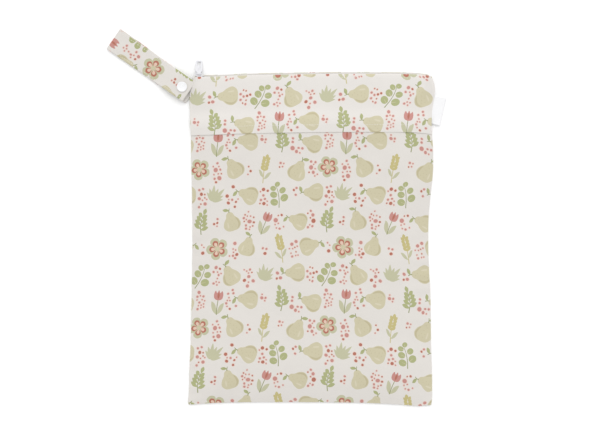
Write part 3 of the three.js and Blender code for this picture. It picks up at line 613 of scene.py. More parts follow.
def cloth_piece(name, width, height, place, layout, edges, material, spacing=CLOTH_SPACING, up=(0, 0, 1)):
    """A cut of printed cloth. place(p, q) puts a flat point in space; edges rolls each of its four sides."""
    flat, triangles, inks = flat_cloth(width, height, spacing, layout)
    counts = {}
    for face, (a, b, c) in enumerate(triangles):
        for edge in ((a, b), (b, c), (c, a)):
            counts[edge] = face
    border = {a: (b, face) for (a, b), face in counts.items() if (b, a) not in counts}
    start = next(iter(border))
    rim, rim_faces = [], []
    at = start
    while True:
        ahead, face = border[at]
        rim.append(at)
        rim_faces.append(face)
        at = ahead
        if at == start:
            break
    base, out, normal, sides = edge_frames(flat, rim, width, height, place, up)
    names = ("left", "right", "bottom", "top")
    rings = max(len(edges[n]) for n in names)
    points = [place(flat[:, 0], flat[:, 1])]
    faces = list(triangles)
    face_inks = list(inks)
    coordinates = [flat]
    earlier = np.array(rim)
    total = len(flat)
    size = len(rim)
    rolled = np.zeros(size)
    previous = np.zeros((size, 2))
    for ring in range(rings):
        profile = np.zeros((size, 2))
        share = np.zeros(size)
        for n, on in zip(names, sides):
            rows = edges[n]
            profile[on] += rows[min(ring, len(rows) - 1)]
            share += on
        profile /= share[:, None]
        rolled += np.linalg.norm(profile - previous, axis=1)
        previous = profile
        outward = np.stack([sides[1].astype(float) - sides[0], sides[3].astype(float) - sides[2]], 1)
        inset = np.minimum(profile[:, :1], 0) * outward
        under_p = np.clip(flat[rim, 0] + inset[:, 0], 0, width)
        under_q = np.clip(flat[rim, 1] + inset[:, 1], 0, height)
        lying = place(under_p, under_q)
        points.append(lying + out * np.maximum(profile[:, :1], 0) - normal * profile[:, 1:])
        coordinates.append(flat[rim] + outward * rolled[:, None])
        current = total + np.arange(size)
        for k in range(size):
            m = (k + 1) % size
            faces.append((int(earlier[k]), int(current[k]), int(current[m]), int(earlier[m])))
            turned_in = profile[k, 0] < 0 or profile[m, 0] < 0
            face_inks.append("ground" if turned_in else inks[rim_faces[k]])
        earlier = current
        total += size
    return build_mesh(name, np.concatenate(points), faces, face_inks, np.concatenate(coordinates), material)


def build_mesh(name, points, faces, inks, coordinates, material):
    mesh = bpy.data.meshes.new(name)
    mesh.from_pydata((np.asarray(points, float) * MM).tolist(), [], faces)
    loops = np.empty(len(mesh.loops), int)
    mesh.loops.foreach_get("vertex_index", loops)
    if inks is not None:
        palette = {ink: linear(ink) for ink in INKS}
        colours = mesh.color_attributes.new("print", "FLOAT_COLOR", "CORNER")
        rows = np.repeat(np.array([palette[i] for i in inks]), [len(f) for f in faces], axis=0)
        colours.data.foreach_set("color", rows.astype(np.float32).ravel())
    if coordinates is not None:
        layer = mesh.uv_layers.new(name="cloth")
        layer.data.foreach_set("uv", (np.asarray(coordinates)[loops] * MM).astype(np.float32).ravel())
    mesh.polygons.foreach_set("use_smooth", [True] * len(mesh.polygons))
    mesh.materials.append(material)
    mesh.update()
    mesh.validate()
    piece = bpy.data.objects.new(name, mesh)
    bpy.context.scene.collection.objects.link(piece)
    return piece


# Materials.
def new_material(name, colour, roughness):
    material = bpy.data.materials.new(name)
    material.use_nodes = True
    shader = material.node_tree.nodes["Principled BSDF"]
    shader.inputs["Base Color"].default_value = (*colour, 1)
    shader.inputs["Roughness"].default_value = roughness
    return material, material.node_tree, shader


def add_node(tree, kind, settings=None, **inputs):
    node = tree.nodes.new(kind)
    for key, value in (settings or {}).items():
        setattr(node, key, value)
    for key, value in inputs.items():
        socket = node.inputs[int(key[1:])] if key[0] == "_" else node.inputs[key.replace("_", " ")]
        if isinstance(value, bpy.types.NodeSocket):
            tree.links.new(value, socket)
        else:
            socket.default_value = value
    return node


def maths(tree, operation, a, b=0.0):
    return add_node(tree, "ShaderNodeMath", {"operation": operation}, _0=a, _1=b).outputs[0]


def noise(tree, place, scale, detail, roughness=0.5):
    return add_node(
        tree, "ShaderNodeTexNoise", None, Vector=place, Scale=scale, Detail=detail, Roughness=roughness,
    ).outputs[0]


def ranged(tree, value, low, high, to_low, to_high):
    return add_node(
        tree, "ShaderNodeMapRange", None, Value=value, From_Min=low, From_Max=high,
        To_Min=to_low, To_Max=to_high,
    ).outputs[0]


def shade_and_bump(tree, shader, colour, level, height, strength, distance):
    """The colour, darkened by a level, and the relief of one surface."""
    tinted = add_node(tree, "ShaderNodeVectorMath", {"operation": "SCALE"}, _0=colour, Scale=level)
    tree.links.new(tinted.outputs[0], shader.inputs["Base Color"])
    bump = add_node(tree, "ShaderNodeBump", None, Strength=strength, Distance=distance, Height=height)
    tree.links.new(bump.outputs[0], shader.inputs["Normal"])


def weave_height(tree, coordinate, across, along):
    """Plain weave: two sets of rounded threads that pass over and under each other."""
    parts = add_node(tree, "ShaderNodeSeparateXYZ", None, _0=coordinate).outputs
    warp = maths(tree, "MULTIPLY", parts[0], math.pi / across)
    weft = maths(tree, "MULTIPLY", parts[1], math.pi / along)
    sx = maths(tree, "SINE", warp)
    sy = maths(tree, "SINE", weft)
    warp_top = maths(tree, "MULTIPLY", sx, sx)
    weft_top = maths(tree, "MULTIPLY", sy, sy)
    over = maths(tree, "MULTIPLY", maths(tree, "COSINE", warp), maths(tree, "COSINE", weft))
    lifted = maths(tree, "ADD", warp_top, maths(tree, "MULTIPLY", over, 0.5))
    crossed = maths(tree, "SUBTRACT", weft_top, maths(tree, "MULTIPLY", over, 0.5))
    return maths(tree, "MAXIMUM", lifted, crossed)


def printed_cloth(name, tint, pitch=0.00042):
    """Fine laminated knit with the print in it: thread relief, uneven dye, painted shade in the weave's
    valleys and a soft nap.
    """
    material, tree, shader = new_material(name, (0.8, 0.8, 0.78), 0.88)
    ink = add_node(tree, "ShaderNodeVertexColor", {"layer_name": "print"}).outputs["Color"]
    cloth = add_node(tree, "ShaderNodeUVMap", {"uv_map": "cloth"}).outputs[0]
    threads = weave_height(tree, cloth, pitch, pitch * 1.15)
    blotch = noise(tree, cloth, 22.0, 4.0, 0.6)
    fibre = noise(tree, cloth, 1500.0, 3.0, 0.7)
    shade = ranged(tree, blotch, 0.3, 0.7, 0.988, 1.012)
    grain = ranged(tree, fibre, 0.25, 0.75, 0.955, 1.02)
    # Painted shade: the colour darkens where the weave's threads dip.
    valley_shade = ranged(tree, threads, 0.2, 1.1, 0.93, 1.02)
    level = maths(tree, "MULTIPLY", maths(tree, "MULTIPLY", shade, grain), valley_shade)
    dyed = add_node(tree, "ShaderNodeVectorMath", {"operation": "MULTIPLY"}, _0=ink, _1=tint).outputs[0]
    tree.links.new(ranged(tree, fibre, 0.2, 0.8, 0.80, 0.96), shader.inputs["Roughness"])
    height = maths(tree, "ADD", threads, maths(tree, "MULTIPLY", fibre, 0.9))
    shade_and_bump(tree, shader, dyed, level, height, 0.55, 0.00007)
    shader.inputs["Sheen Weight"].default_value = 0.12
    shader.inputs["Sheen Roughness"].default_value = 0.45
    shader.inputs["Specular IOR Level"].default_value = 0.25
    return material


def woven_ribbon(name, colour, pitch, relief, sheen):
    """Tape or label: a tight weave on its own coordinates."""
    material, tree, shader = new_material(name, colour, 0.7)
    cloth = add_node(tree, "ShaderNodeUVMap", {"uv_map": "cloth"}).outputs[0]
    threads = weave_height(tree, cloth, pitch, pitch * 0.8)
    fibre = noise(tree, cloth, 900.0, 3.0)
    shade = ranged(tree, threads, 0.1, 1.1, 0.86, 1.03)
    level = maths(tree, "MULTIPLY", shade, ranged(tree, fibre, 0.3, 0.7, 0.97, 1.02))
    height = maths(tree, "ADD", threads, maths(tree, "MULTIPLY", fibre, 0.5))
    shade_and_bump(tree, shader, colour, level, height, 0.7, relief)
    shader.inputs["Sheen Weight"].default_value = sheen
    shader.inputs["Specular IOR Level"].default_value = 0.35
    return material


def moulded_plastic(name, colour, roughness, relief=0.00002):
    """Injection-moulded plastic: faint flow marks, fine grain, a slightly uneven gloss."""
    material, tree, shader = new_material(name, colour, roughness)
    place = add_node(tree, "ShaderNodeTexCoord").outputs["Object"]
    flow = noise(tree, place, 260.0, 3.0)
    grain = noise(tree, place, 5200.0, 2.0)
    level = ranged(tree, flow, 0.3, 0.7, 0.96, 1.02)
    gloss = ranged(tree, flow, 0.25, 0.75, roughness - 0.05, roughness + 0.07)
    tree.links.new(gloss, shader.inputs["Roughness"])
    height = maths(tree, "ADD", flow, maths(tree, "MULTIPLY", grain, 0.3))
    shade_and_bump(tree, shader, colour, level, height, 0.4, relief)
    shader.inputs["Specular IOR Level"].default_value = 0.5
    return material


lower_cloth = printed_cloth("printed_cloth", (0.840, 0.828, 0.812))
# Painted light: the flap's copy of the printed cloth is tinted lighter than the lower panel's, so the whole
# flap reads brighter.
lit_flap_cloth = printed_cloth("printed_cloth_flap_lit", (0.900, 0.890, 0.880))
tape_weave = woven_ribbon("zip_tape_weave", (0.84, 0.84, 0.84), 0.0005, 0.00009, 0.1)
label_weave = woven_ribbon("label_satin", (0.86, 0.86, 0.87), 0.00028, 0.00004, 0.25)
coil_plastic = moulded_plastic("coil_nylon", (0.82, 0.82, 0.83), 0.42)
zip_plastic = moulded_plastic("zip_enamel", (0.70, 0.70, 0.725), 0.34)
snap_plastic = moulded_plastic("snap_resin", (0.84, 0.84, 0.85), 0.26)
thread = moulded_plastic("sewing_thread", (0.77, 0.76, 0.735), 0.75, 0.00003)


def stand_for(piece, nodes, body):
    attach(piece, body)
    if nodes:
        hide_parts(*nodes)
    return piece


# Front pocket panel: the lower front, from the bottom seam up under the flap.
def pocket_place(p, q):
    u = p / BAG_WIDTH
    v = q / POCKET_HEIGHT * share_at_y(u, flap_y(u) + FLAP_OVERLAP)
    z = front_height(u, v) + front_creases(u, v) * (1 - smooth((q - POCKET_HEIGHT + 34) / 16))
    inset = SEAM_ROLL * (2 * u - 1)
    return np.stack([plan_x(u, v) - inset, plan_y(u, v) + SEAM_ROLL * (1 - np.clip(v / 0.02, 0, 1)), z], 1)


POCKET_HEIGHT = BAG_HEIGHT - BACK_PEEK - UPPER_DEPTH + FLAP_OVERLAP
SEAM_EDGE = half_roll(SEAM_ROLL, 8)
pocket = cloth_piece(
    "pocket_cloth", BAG_WIDTH, POCKET_HEIGHT, pocket_place, print_layout(BAG_WIDTH, POCKET_HEIGHT, (9, 4)),
    {"left": SEAM_EDGE, "right": SEAM_EDGE, "bottom": SEAM_EDGE, "top": SEAM_EDGE}, lower_cloth,
)
stand_for(pocket, ["front_pocket_panel"], "bag")

# Front upper panel: the strip from the fold over the zip down to the hemmed flap.
FLAP_STACK = 2 * CLOTH + GAP
HEM_PRESS = 1.25
HEM_SOFTNESS = 5.5
HEM_FOLD = 0.5
TOP_ROUND = 9.0
TOP_DROP = 1.0


def upper_height(u, y):
    past = y - flap_y(u) - FLAP_OVERLAP - CLOTH
    v = share_at_y(u, y)
    fold = (fold_y(u) - y) / 20
    near_flap = np.exp(-(((y - flap_y(u)) / 16) ** 2))
    creases = front_creases(u, v) * 0.8 * smooth(fold)
    zip_gathers = seam_gathers(fold_y(u) - y, u * BAG_WIDTH, 31, 14, 0.34, 13)
    hem_gathers = seam_gathers(np.abs(y - flap_y(u) - HEM) + 2, u * BAG_WIDTH, 32, 16, 0.22, 12) * near_flap
    pressed = HEM_PRESS * bell(y - flap_y(u), HEM_SOFTNESS)
    rounded = TOP_DROP * np.clip(1 - (fold_y(u) - y) / TOP_ROUND, 0, 1) ** 2 * rise(u * BAG_WIDTH - 18, 30)
    stack = FLAP_STACK * (1 - smooth(past / FLAP_BLEND))
    return front_height(u, v) + stack + creases + zip_gathers + hem_gathers - pressed - rounded


# How far below the fold the tape's turn begins, and where the flap's cut edge starts.
TURN_BACK = CLOTH + GAP + TAPE_TURN
FLAP_START = 0.2


def upper_place(p, q):
    u = p / BAG_WIDTH
    y = flap_y(u) + FLAP_START + q
    held = np.minimum(y, fold_y(u) - TURN_BACK)
    inset = SEAM_ROLL * (2 * u - 1)
    return np.stack([plan_x(u, share_at_y(u, held)) - inset, y, upper_height(u, y)], 1)


UPPER_CUT = UPPER_DEPTH - LIP_RADIUS - FLAP_START
upper = cloth_piece(
    "flap_cloth", BAG_WIDTH, UPPER_CUT, upper_place, print_layout(BAG_WIDTH, UPPER_CUT, (90, 116)),
    {
        "left": SEAM_EDGE, "right": SEAM_EDGE, "bottom": half_roll(HEM_FOLD, HEM - 1),
        "top": lip_roll(LIP_RADIUS, 0.2, CLOTH),
    },
    lit_flap_cloth,
)
stand_for(upper, ["front_upper_panel"], "bag")


# Back panel: its outer face lies on the floor, and its top edge shows past the front's fold.
def back_place(p, q):
    u = 1 - p / BAG_WIDTH
    v = q / BAG_HEIGHT
    inset = SEAM_ROLL * (2 * u - 1)
    to_edge = np.minimum(np.minimum(p, BAG_WIDTH - p), np.minimum(q, BAG_HEIGHT - q))
    hollow = rise(to_edge, 30) * np.clip(0.25 + ripples(p, q, 41, 12, 80, 18, 0.5), 0, 0.6)
    y = plan_y(u, v) + SEAM_ROLL * (np.clip(1 - v / 0.02, 0, 1) - np.clip(1 - (1 - v) / 0.02, 0, 1))
    return np.stack([plan_x(u, v) - inset, y, hollow], 1)


back_edge = half_roll(SEAM_ROLL, 12)
back = cloth_piece(
    "back_cloth", BAG_WIDTH, BAG_HEIGHT, back_place, print_layout(BAG_WIDTH, BAG_HEIGHT, (33, 50)),
    {"left": back_edge, "right": back_edge, "bottom": back_edge, "top": back_edge}, lower_cloth,
    up=(0, 0, -1),
)
stand_for(back, ["back_panel"], "bag")


# Shapes shared by the hard pieces and the narrow goods.
def grid_solid(name, outer, inner, coordinates, material):
    """Closed sheet between two matching grids of points, each (rows, columns, 3)."""
    rows, columns = outer.shape[:2]
    half = rows * columns
    faces = []
    for j in range(rows - 1):
        for i in range(columns - 1):
            a = j * columns + i
            faces.append((a, a + 1, a + columns + 1, a + columns))
            faces.append((half + a, half + a + columns, half + a + columns + 1, half + a + 1))
    rim = grid_rim(rows, columns)
    for k, a in enumerate(rim):
        b = rim[(k + 1) % len(rim)]
        faces.append((a, half + a, half + b, b))
    points = np.concatenate([outer.reshape(-1, 3), inner.reshape(-1, 3)])
    flat = coordinates.reshape(-1, 2)
    return build_mesh(name, points, faces, None, np.concatenate([flat, flat]), material)


def loft_faces(rings, sides, upward=True):
    """Faces of a closed bar made of rings of points, its two ends flat."""
    faces = []
    for r in range(rings - 1):
        for k in range(sides):
            a, b = r * sides + k, r * sides + (k + 1) % sides
            faces.append((a, b, b + sides, a + sides))
    faces.append(tuple(range(sides))[::-1])
    faces.append(tuple((rings - 1) * sides + k for k in range(sides)))
    return faces if upward else [face[::-1] for face in faces]


def tube_form(line, radii, sides):
    """Closed tube round a line of points, with (across, up) radii at each point."""
    line = np.asarray(line, float)
    ahead = np.gradient(line, axis=0)
    ahead /= np.linalg.norm(ahead, axis=1)[:, None]
    side = np.cross(np.array([0, 0, 1.0]), ahead)
    side /= np.linalg.norm(side, axis=1)[:, None]
    up = np.cross(ahead, side)
    angles = np.linspace(0, 2 * math.pi, sides, endpoint=False)
    points = []
    for centre, s, u, (wide, tall) in zip(line, side, up, radii):
        points.append(centre + np.outer(np.cos(angles) * wide, s) + np.outer(np.sin(angles) * tall, u))
    return np.concatenate(points), loft_faces(len(line), sides)


def gather(name, forms, material):
    """One mesh from many closed forms, each (points, faces)."""
    points, faces, base = [], [], 0
    for form_points, form_faces in forms:
        points.append(form_points)
        faces.extend(tuple(base + k for k in face) for face in form_faces)
        base += len(form_points)
    return build_mesh(name, np.concatenate(points), faces, None, None, material)


STITCH = 2.7
STITCH_GAP = 0.45
STITCH_START = 0.6
STITCH_RISE = 0.22
STITCH_SINK = 0.17
THREAD_RADIUS = 0.15


def stitch_row(path):
    """Lock stitches along a dense path of points on the cloth: each one rises, lies and dives again."""
    path = np.asarray(path, float)
    away = np.concatenate([[0], np.cumsum(np.linalg.norm(np.diff(path, axis=0), axis=1))])
    forms = []
    start = STITCH_START
    while start + STITCH < away[-1]:
        at = start + STITCH * np.linspace(0, 1, 7)
        line = np.stack([np.interp(at, away, path[:, k]) for k in range(3)], 1)
        arch = np.sin(np.linspace(0, math.pi, 7))
        line[:, 2] += STITCH_RISE * arch - STITCH_SINK
        swell = THREAD_RADIUS * (0.75 + 0.35 * arch)
        forms.append(tube_form(line, np.stack([swell * 1.1, swell], 1), 6))
        start += STITCH + STITCH_GAP
    return forms


# Zip tape: the channel between the two mouth edges, its limbs lying along the walls.
TAPE_BOTTOM = CLOTH + GAP
TAPE_WEB = 5.0


def mouth_x(u):
    return plan_x(u, share_at_y(u, fold_y(u)))


def web_y(u):
    return fold_y(u) - CLOTH - GAP


def tape_top(u):
    return upper_height(u, fold_y(u) - TURN_BACK) - CLOTH - GAP


def chain_z(u):
    return (tape_top(u) + TAPE_BOTTOM) / 2


def tape_grids(shares):
    """Outer and inner faces of the tape, with its flat coordinates."""
    limb = np.linspace(1, 0, 6)
    turn = np.linspace(0, 0.5 * math.pi, 6)
    web = np.linspace(0, 1, 9)[1:-1]
    outer, inner, flat = [], [], []

    def station(y, z, angle, x, run):
        wave = 0.10 * np.sin(shares * 180) * math.sin(angle) ** 2
        for rows, radius in ((outer, TAPE_TURN), (inner, TAPE_TURN - TAPE)):
            depth = (radius + wave) * math.sin(angle)
            rows.append(np.stack([x, y + depth, z + radius * math.cos(angle)], 1))
        flat.append(np.stack([shares * BAG_WIDTH, np.full_like(shares, run)], 1))

    top = tape_top(shares) - TAPE_TURN
    bottom = np.full_like(shares, TAPE_BOTTOM + TAPE_TURN)
    for part in limb:
        y = fold_y(shares) - TURN_BACK - TAPE_LIMB * part
        z = upper_height(shares, y) - CLOTH - GAP - TAPE_TURN
        station(y, z, 0.0, plan_x(shares, share_at_y(shares, y)), TAPE_LIMB * (1 - part))
    for angle in turn[1:]:
        station(web_y(shares) - TAPE_TURN, top, angle, mouth_x(shares), TAPE_LIMB + TAPE_TURN * angle)
    run = TAPE_LIMB + TAPE_TURN * 0.5 * math.pi
    for part in web:
        z = mix(top, bottom, part)
        station(web_y(shares) - TAPE_TURN, z, 0.5 * math.pi, mouth_x(shares), run + TAPE_WEB * part)
    run += TAPE_WEB
    for angle in turn:
        turned_by, so_far = 0.5 * math.pi + angle, run + TAPE_TURN * angle
        station(web_y(shares) - TAPE_TURN, bottom, turned_by, mouth_x(shares), so_far)
    run += TAPE_TURN * 0.5 * math.pi
    for part in limb[::-1][1:]:
        y = fold_y(shares) - TURN_BACK - TAPE_LIMB * part
        station(y, bottom, math.pi, plan_x(shares, share_at_y(shares, y)), run + TAPE_LIMB * part)
    return np.stack(outer), np.stack(inner), np.stack(flat)


# The solid tape stops 7 mm short of the far side, and the cloth one runs on into the side seam.
TAPE_INSET_LEFT = 3.0
TAPE_INSET_RIGHT = 7.0
TAPE_SEAM_INSET = 1.5
TAPE_COLUMNS = 230
tape_shares = np.linspace(TAPE_INSET_LEFT / BAG_WIDTH, 1 - TAPE_SEAM_INSET / BAG_WIDTH, TAPE_COLUMNS)
tape = grid_solid("zip_tape_cloth", *tape_grids(tape_shares), tape_weave)
stand_for(tape, ["zip_tape"], "bag")

# Zip chain: two rows of nylon loops that lock along the middle of the tape.
CHAIN_PITCH = 1.25
CHAIN_STAND = 0.74
CHAIN_END_SHARE = 1 - (TAPE_INSET_RIGHT + 4.0) / BAG_WIDTH


def chain_forms():
    """Loops from the slider to the far end, upper and lower by turns."""
    slider_low, slider_high = (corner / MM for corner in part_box("zip_slider"))
    first = float((slider_low.x + slider_high.x) / 2 + 0.5 * BAG_WIDTH) / BAG_WIDTH + 0.004
    count = int((CHAIN_END_SHARE - first) * BAG_WIDTH / CHAIN_PITCH)
    u = first + np.arange(2 * count) * 0.5 * CHAIN_PITCH / BAG_WIDTH
    xs, ys, zs = mouth_x(u), web_y(u) + GAP + CHAIN_STAND, chain_z(u)
    forms = []
    for k in range(2 * count):
        side = 1 if k % 2 else -1
        reach = side * np.array([-0.42, -0.36, -0.1, 0.6, 1.3, 1.8, 1.97])
        line = np.stack([np.full(7, xs[k]), np.full(7, ys[k]), zs[k] + reach], 1)
        round_off = np.array([0.42, 0.8, 1.0, 0.94, 1.0, 0.82, 0.4])
        ahead = line.copy()
        ahead[:, 0] += 0.10 * side * np.linspace(-1, 1, 7)
        forms.append(bar_form(ahead, 0.40 * round_off, 0.72 * round_off, 8))
    return forms


def bar_form(line, wide, deep, sides):
    """Closed bar that runs up a near-vertical line, wide along X and deep along Y."""
    angles = np.linspace(0, 2 * math.pi, sides, endpoint=False)
    points = []
    for centre, w, d in zip(line, wide, deep):
        points.append(centre + np.stack([w * np.cos(angles), d * np.sin(angles), np.zeros(sides)], 1))
    return np.concatenate(points), loft_faces(len(line), sides, line[-1, 2] > line[0, 2])


chain = gather("zip_coil", chain_forms(), coil_plastic)
stand_for(chain, ["zip_chain"], "bag")


# Slider and pull: the solids' own shapes, with their edges rounded as a mould leaves them.
MOULD_VOXEL = 0.13
MOULD_ROUNDS = 6


def moulded_copy(node, name, material):
    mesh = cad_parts[node].data.copy()
    mesh.transform(Matrix.Scale(1 / MM, 4))
    mesh.name = name
    piece = bpy.data.objects.new(name, mesh)
    bpy.context.scene.collection.objects.link(piece)
    blocks = piece.modifiers.new("blocks", "REMESH")
    blocks.mode = "VOXEL"
    blocks.voxel_size = MOULD_VOXEL
    blocks.use_smooth_shade = True
    easing = piece.modifiers.new("easing", "SMOOTH")
    easing.factor = 0.5
    easing.iterations = MOULD_ROUNDS
    seen = piece.evaluated_get(bpy.context.evaluated_depsgraph_get())
    finished = bpy.data.meshes.new_from_object(seen)
    piece.modifiers.clear()
    piece.data = finished
    finished.transform(Matrix.Scale(MM, 4))
    finished.materials.clear()
    finished.materials.append(material)
    return piece


slider = moulded_copy("zip_slider", "zip_slider_body", zip_plastic)
stand_for(slider, ["zip_slider"], "bag")
pull = moulded_copy("zip_pull", "zip_pull_tab", zip_plastic)
stand_for(pull, ["zip_pull"], "pull")

# Strap: one printed ribbon out along the floor, round its far fold and back to the snap.
SNAP_LIFT = SNAP_CAP_HEIGHT + GAP
SEAM_LIFT = (SEAM_STACK - STRAP_CLOTH) / 2
SNAP_FLAT = 0.6 * SNAP_CAP_DIAMETER
STRAP_TUCK = 3.0
STRAP_SKEW = 1.3
STRAP_BEND = STRAP_CLOTH + GAP / 2
STRAP_TURN = STRAP_LENGTH - STRAP_BEND
strap_share = 1 - STRAP_DROP / BAG_HEIGHT
strap_root = np.array([left_x(strap_share), plan_y(0.0, strap_share)])
strap_angle = math.radians(180 - STRAP_ANGLE)
STRAP_OUT = np.array([math.cos(strap_angle), math.sin(strap_angle)])
STRAP_SIDE = np.array([-math.sin(strap_angle), math.cos(strap_angle)])


def lower_layer(s):
    away = np.abs(s - SNAP_FROM_SEAM) - SNAP_FLAT
    near = mix(SNAP_LIFT, SEAM_LIFT, smooth(away / (SNAP_FROM_SEAM - SNAP_FLAT)))
    return np.where(s < SNAP_FROM_SEAM, near, SNAP_LIFT * (1 - smooth(away / STRAP_RAMP)))


def upper_layer(s):
    away = np.abs(s - SNAP_FROM_SEAM) - SNAP_FLAT
    spread = np.where(s < SNAP_FROM_SEAM, SNAP_SPREAD, mix(SNAP_SPREAD, GAP, smooth(away / STRAP_RAMP)))
    return np.where(s < SNAP_FROM_SEAM, SNAP_LIFT, lower_layer(s)) + STRAP_CLOTH + spread


def fold_path(tuck, turn, bend, free_end, lower, upper, steps=160):
    """Outer face of a ribbon that goes out, folds and comes back.

    Returns the distance run, and rows of distance out, height and how far it has turned over.
    """
    out = np.linspace(-tuck, turn, steps)
    rows = np.stack([out, lower(out), np.zeros(steps)], 1)
    angles = np.linspace(-0.5 * math.pi, 0.5 * math.pi, 16)[1:-1]
    bow = np.stack([turn + bend * np.cos(angles), bend + bend * np.sin(angles), 0.5 + angles / math.pi], 1)
    back = np.linspace(turn, free_end, steps)
    home = np.stack([back, upper(back), np.ones(steps)], 1)
    rows = np.concatenate([rows, bow, home])
    run = np.concatenate([[0], np.cumsum(np.linalg.norm(np.diff(rows[:, :2], axis=0), axis=1))])
    return run, rows


strap_run, strap_rows = fold_path(
    STRAP_TUCK, STRAP_TURN, STRAP_BEND, STRAP_FREE_END, lower_layer, lambda s: upper_layer(s) + STRAP_CLOTH,
)


def strap_place(p, q):
    out = np.interp(q, strap_run, strap_rows[:, 0])
    height = np.interp(q, strap_run, strap_rows[:, 1])
    turned_over = np.interp(q, strap_run, strap_rows[:, 2])
    skew = -STRAP_SKEW * (1 - turned_over) * smooth((out - 30) / 70)
    side = p - 0.5 * STRAP_WIDTH + skew
    to_snap = np.hypot(out - SNAP_FROM_SEAM, side)
    pressed = 0.35 * np.exp(-((to_snap / (0.62 * SNAP_CAP_DIAMETER)) ** 2))
    soft = ripples(out, side, 51, 9, 46, 12, 0.42) * rise(np.abs(to_snap), 14) * turned_over
    soft *= rise(p, 6) * rise(STRAP_WIDTH - p, 6)
    bow = 0.25 * turned_over * np.cos(math.pi * (p / STRAP_WIDTH - 0.5)) * smooth((out - 24) / 30)
    z = height + soft + bow - pressed * turned_over
    ground = strap_root + out[..., None] * STRAP_OUT + side[..., None] * STRAP_SIDE
    return np.concatenate([ground, np.maximum(z, 0.0)[..., None]], -1)


strap_edge = half_roll(STRAP_CLOTH / 2, 4.5)
strap_print = print_layout(STRAP_WIDTH, strap_run[-1], (25, 14))
strap = cloth_piece(
    "strap_cloth", STRAP_WIDTH, strap_run[-1], strap_place, strap_print,
    {"left": strap_edge, "right": strap_edge, "bottom": strap_edge, "top": strap_edge},
    lower_cloth, spacing=2.4, up=None,
)
stand_for(strap, ["strap"], "bag")

# Label: a bare satin ribbon folded on itself, its ends in the side seam.
LABEL_BEND = LABEL_CLOTH + GAP / 2
LABEL_TURN = LABEL_REACH - LABEL_BEND
LABEL_TUCK = 3.0
label_share = 1 - LABEL_DROP / BAG_HEIGHT
label_root = np.array([right_x(label_share), plan_y(1.0, label_share)])
label_angle = -math.radians(LABEL_TILT)
LABEL_OUT = np.array([math.cos(label_angle), math.sin(label_angle)])
LABEL_SIDE = np.array([-math.sin(label_angle), math.cos(label_angle)])

label_run, label_rows = fold_path(
    LABEL_TUCK, LABEL_TURN, LABEL_BEND, -LABEL_TUCK, lambda s: np.zeros_like(s),
    lambda s: np.full_like(s, 2 * LABEL_BEND), steps=24,
)


def label_place(p, q):
    out = np.interp(q, label_run, label_rows[:, 0])
    height = np.interp(q, label_run, label_rows[:, 1])
    turned_over = np.interp(q, label_run, label_rows[:, 2])
    side = p - 0.5 * LABEL_LENGTH
    curl = 0.9 * smooth(out / LABEL_REACH) * smooth(np.abs(side) / (0.5 * LABEL_LENGTH) - 0.25)
    wave = 0.22 * np.sin(side / 4.6 + 0.8) * smooth(out / LABEL_REACH) * turned_over
    ground = label_root + out[..., None] * LABEL_OUT + side[..., None] * LABEL_SIDE
    return np.concatenate([ground, (height + curl + np.maximum(wave, -0.2))[..., None]], -1)


label_edge = half_roll(LABEL_CLOTH / 2, 5)
label_end = half_roll(LABEL_CLOTH / 2, 2)
label = cloth_piece(
    "label_ribbon", LABEL_LENGTH, label_run[-1], label_place, [],
    {"left": label_edge, "right": label_edge, "bottom": label_end, "top": label_end},
    label_weave, spacing=1.0, up=None,
)
stand_for(label, ["side_label"], "bag")


# Snap: the two outer caps as turned resin, and the halves between the strap's layers.
def turned_form(profile, sides, centre, upward):
    """Solid of revolution about a vertical axis, from (radius, height) rows that start and end on it."""
    angles = np.linspace(0, 2 * math.pi, sides, endpoint=False)
    points = [np.array([[*centre[:2], centre[2] + upward * profile[0][1]]])]
    for radius, height in profile[1:-1]:
        level = np.full(sides, upward * height)
        ring = np.stack([radius * np.cos(angles), radius * np.sin(angles), level], 1)
        points.append(ring + centre)
    points.append(np.array([[*centre[:2], centre[2] + upward * profile[-1][1]]]))
    rings = len(profile) - 2
    last = 1 + rings * sides
    faces = []
    for k in range(sides):
        m = (k + 1) % sides
        faces.append((0, 1 + m, 1 + k))
        faces.append((last, last - sides + k, last - sides + m))
        for r in range(rings - 1):
            a, b = 1 + r * sides + k, 1 + r * sides + m
            faces.append((a, b, b + sides, a + sides))
    if upward < 0:
        faces = [face[::-1] for face in faces]
    return np.concatenate(points), faces


def cap_rows():
    """A snap cap's section: flat underside, rounded rim, and a shallow dish with a gate mark."""
    r, h = SNAP_CAP_DIAMETER / 2, SNAP_CAP_HEIGHT
    rows = [(0, 0), (r - 0.6, 0), (r - 0.22, 0.04)]
    for angle in np.linspace(-0.35 * math.pi, 0.5 * math.pi, 9):
        rows.append((r - 0.62 + 0.62 * math.cos(angle), 0.62 * h + 0.38 * h * math.sin(angle)))
    rows += [(r - 1.0, 0.985 * h), (r - 1.35, 0.93 * h), (r - 1.8, 0.84 * h)]
    rows += [(0.5 * r, 0.72 * h), (0.25 * r, 0.68 * h)]
    rows += [(0.9, 0.67 * h), (0.78, 0.63 * h), (0.35, 0.62 * h), (0, 0.62 * h)]
    return rows


snap_centre = strap_root + SNAP_FROM_SEAM * STRAP_OUT
for node, name, height, upward in (
    ("snap_cap", "snap_cap_top", SNAP_LIFT + 2 * STRAP_CLOTH + SNAP_SPREAD, 1),
    ("snap_back_cap", "snap_cap_under", SNAP_CAP_HEIGHT, -1),
):
    form = turned_form(cap_rows(), 64, np.array([*snap_centre, height]), upward)
    stand_for(gather(name, [form], snap_plastic), [node], "bag")
for node in ("snap_stud", "snap_socket"):
    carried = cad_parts[node].data
    carried.materials.clear()
    carried.materials.append(snap_plastic)


# Stitches, in thread of the cloth's own colour.
def lay(place, p, q):
    return place(np.asarray(p, float), np.asarray(q, float))


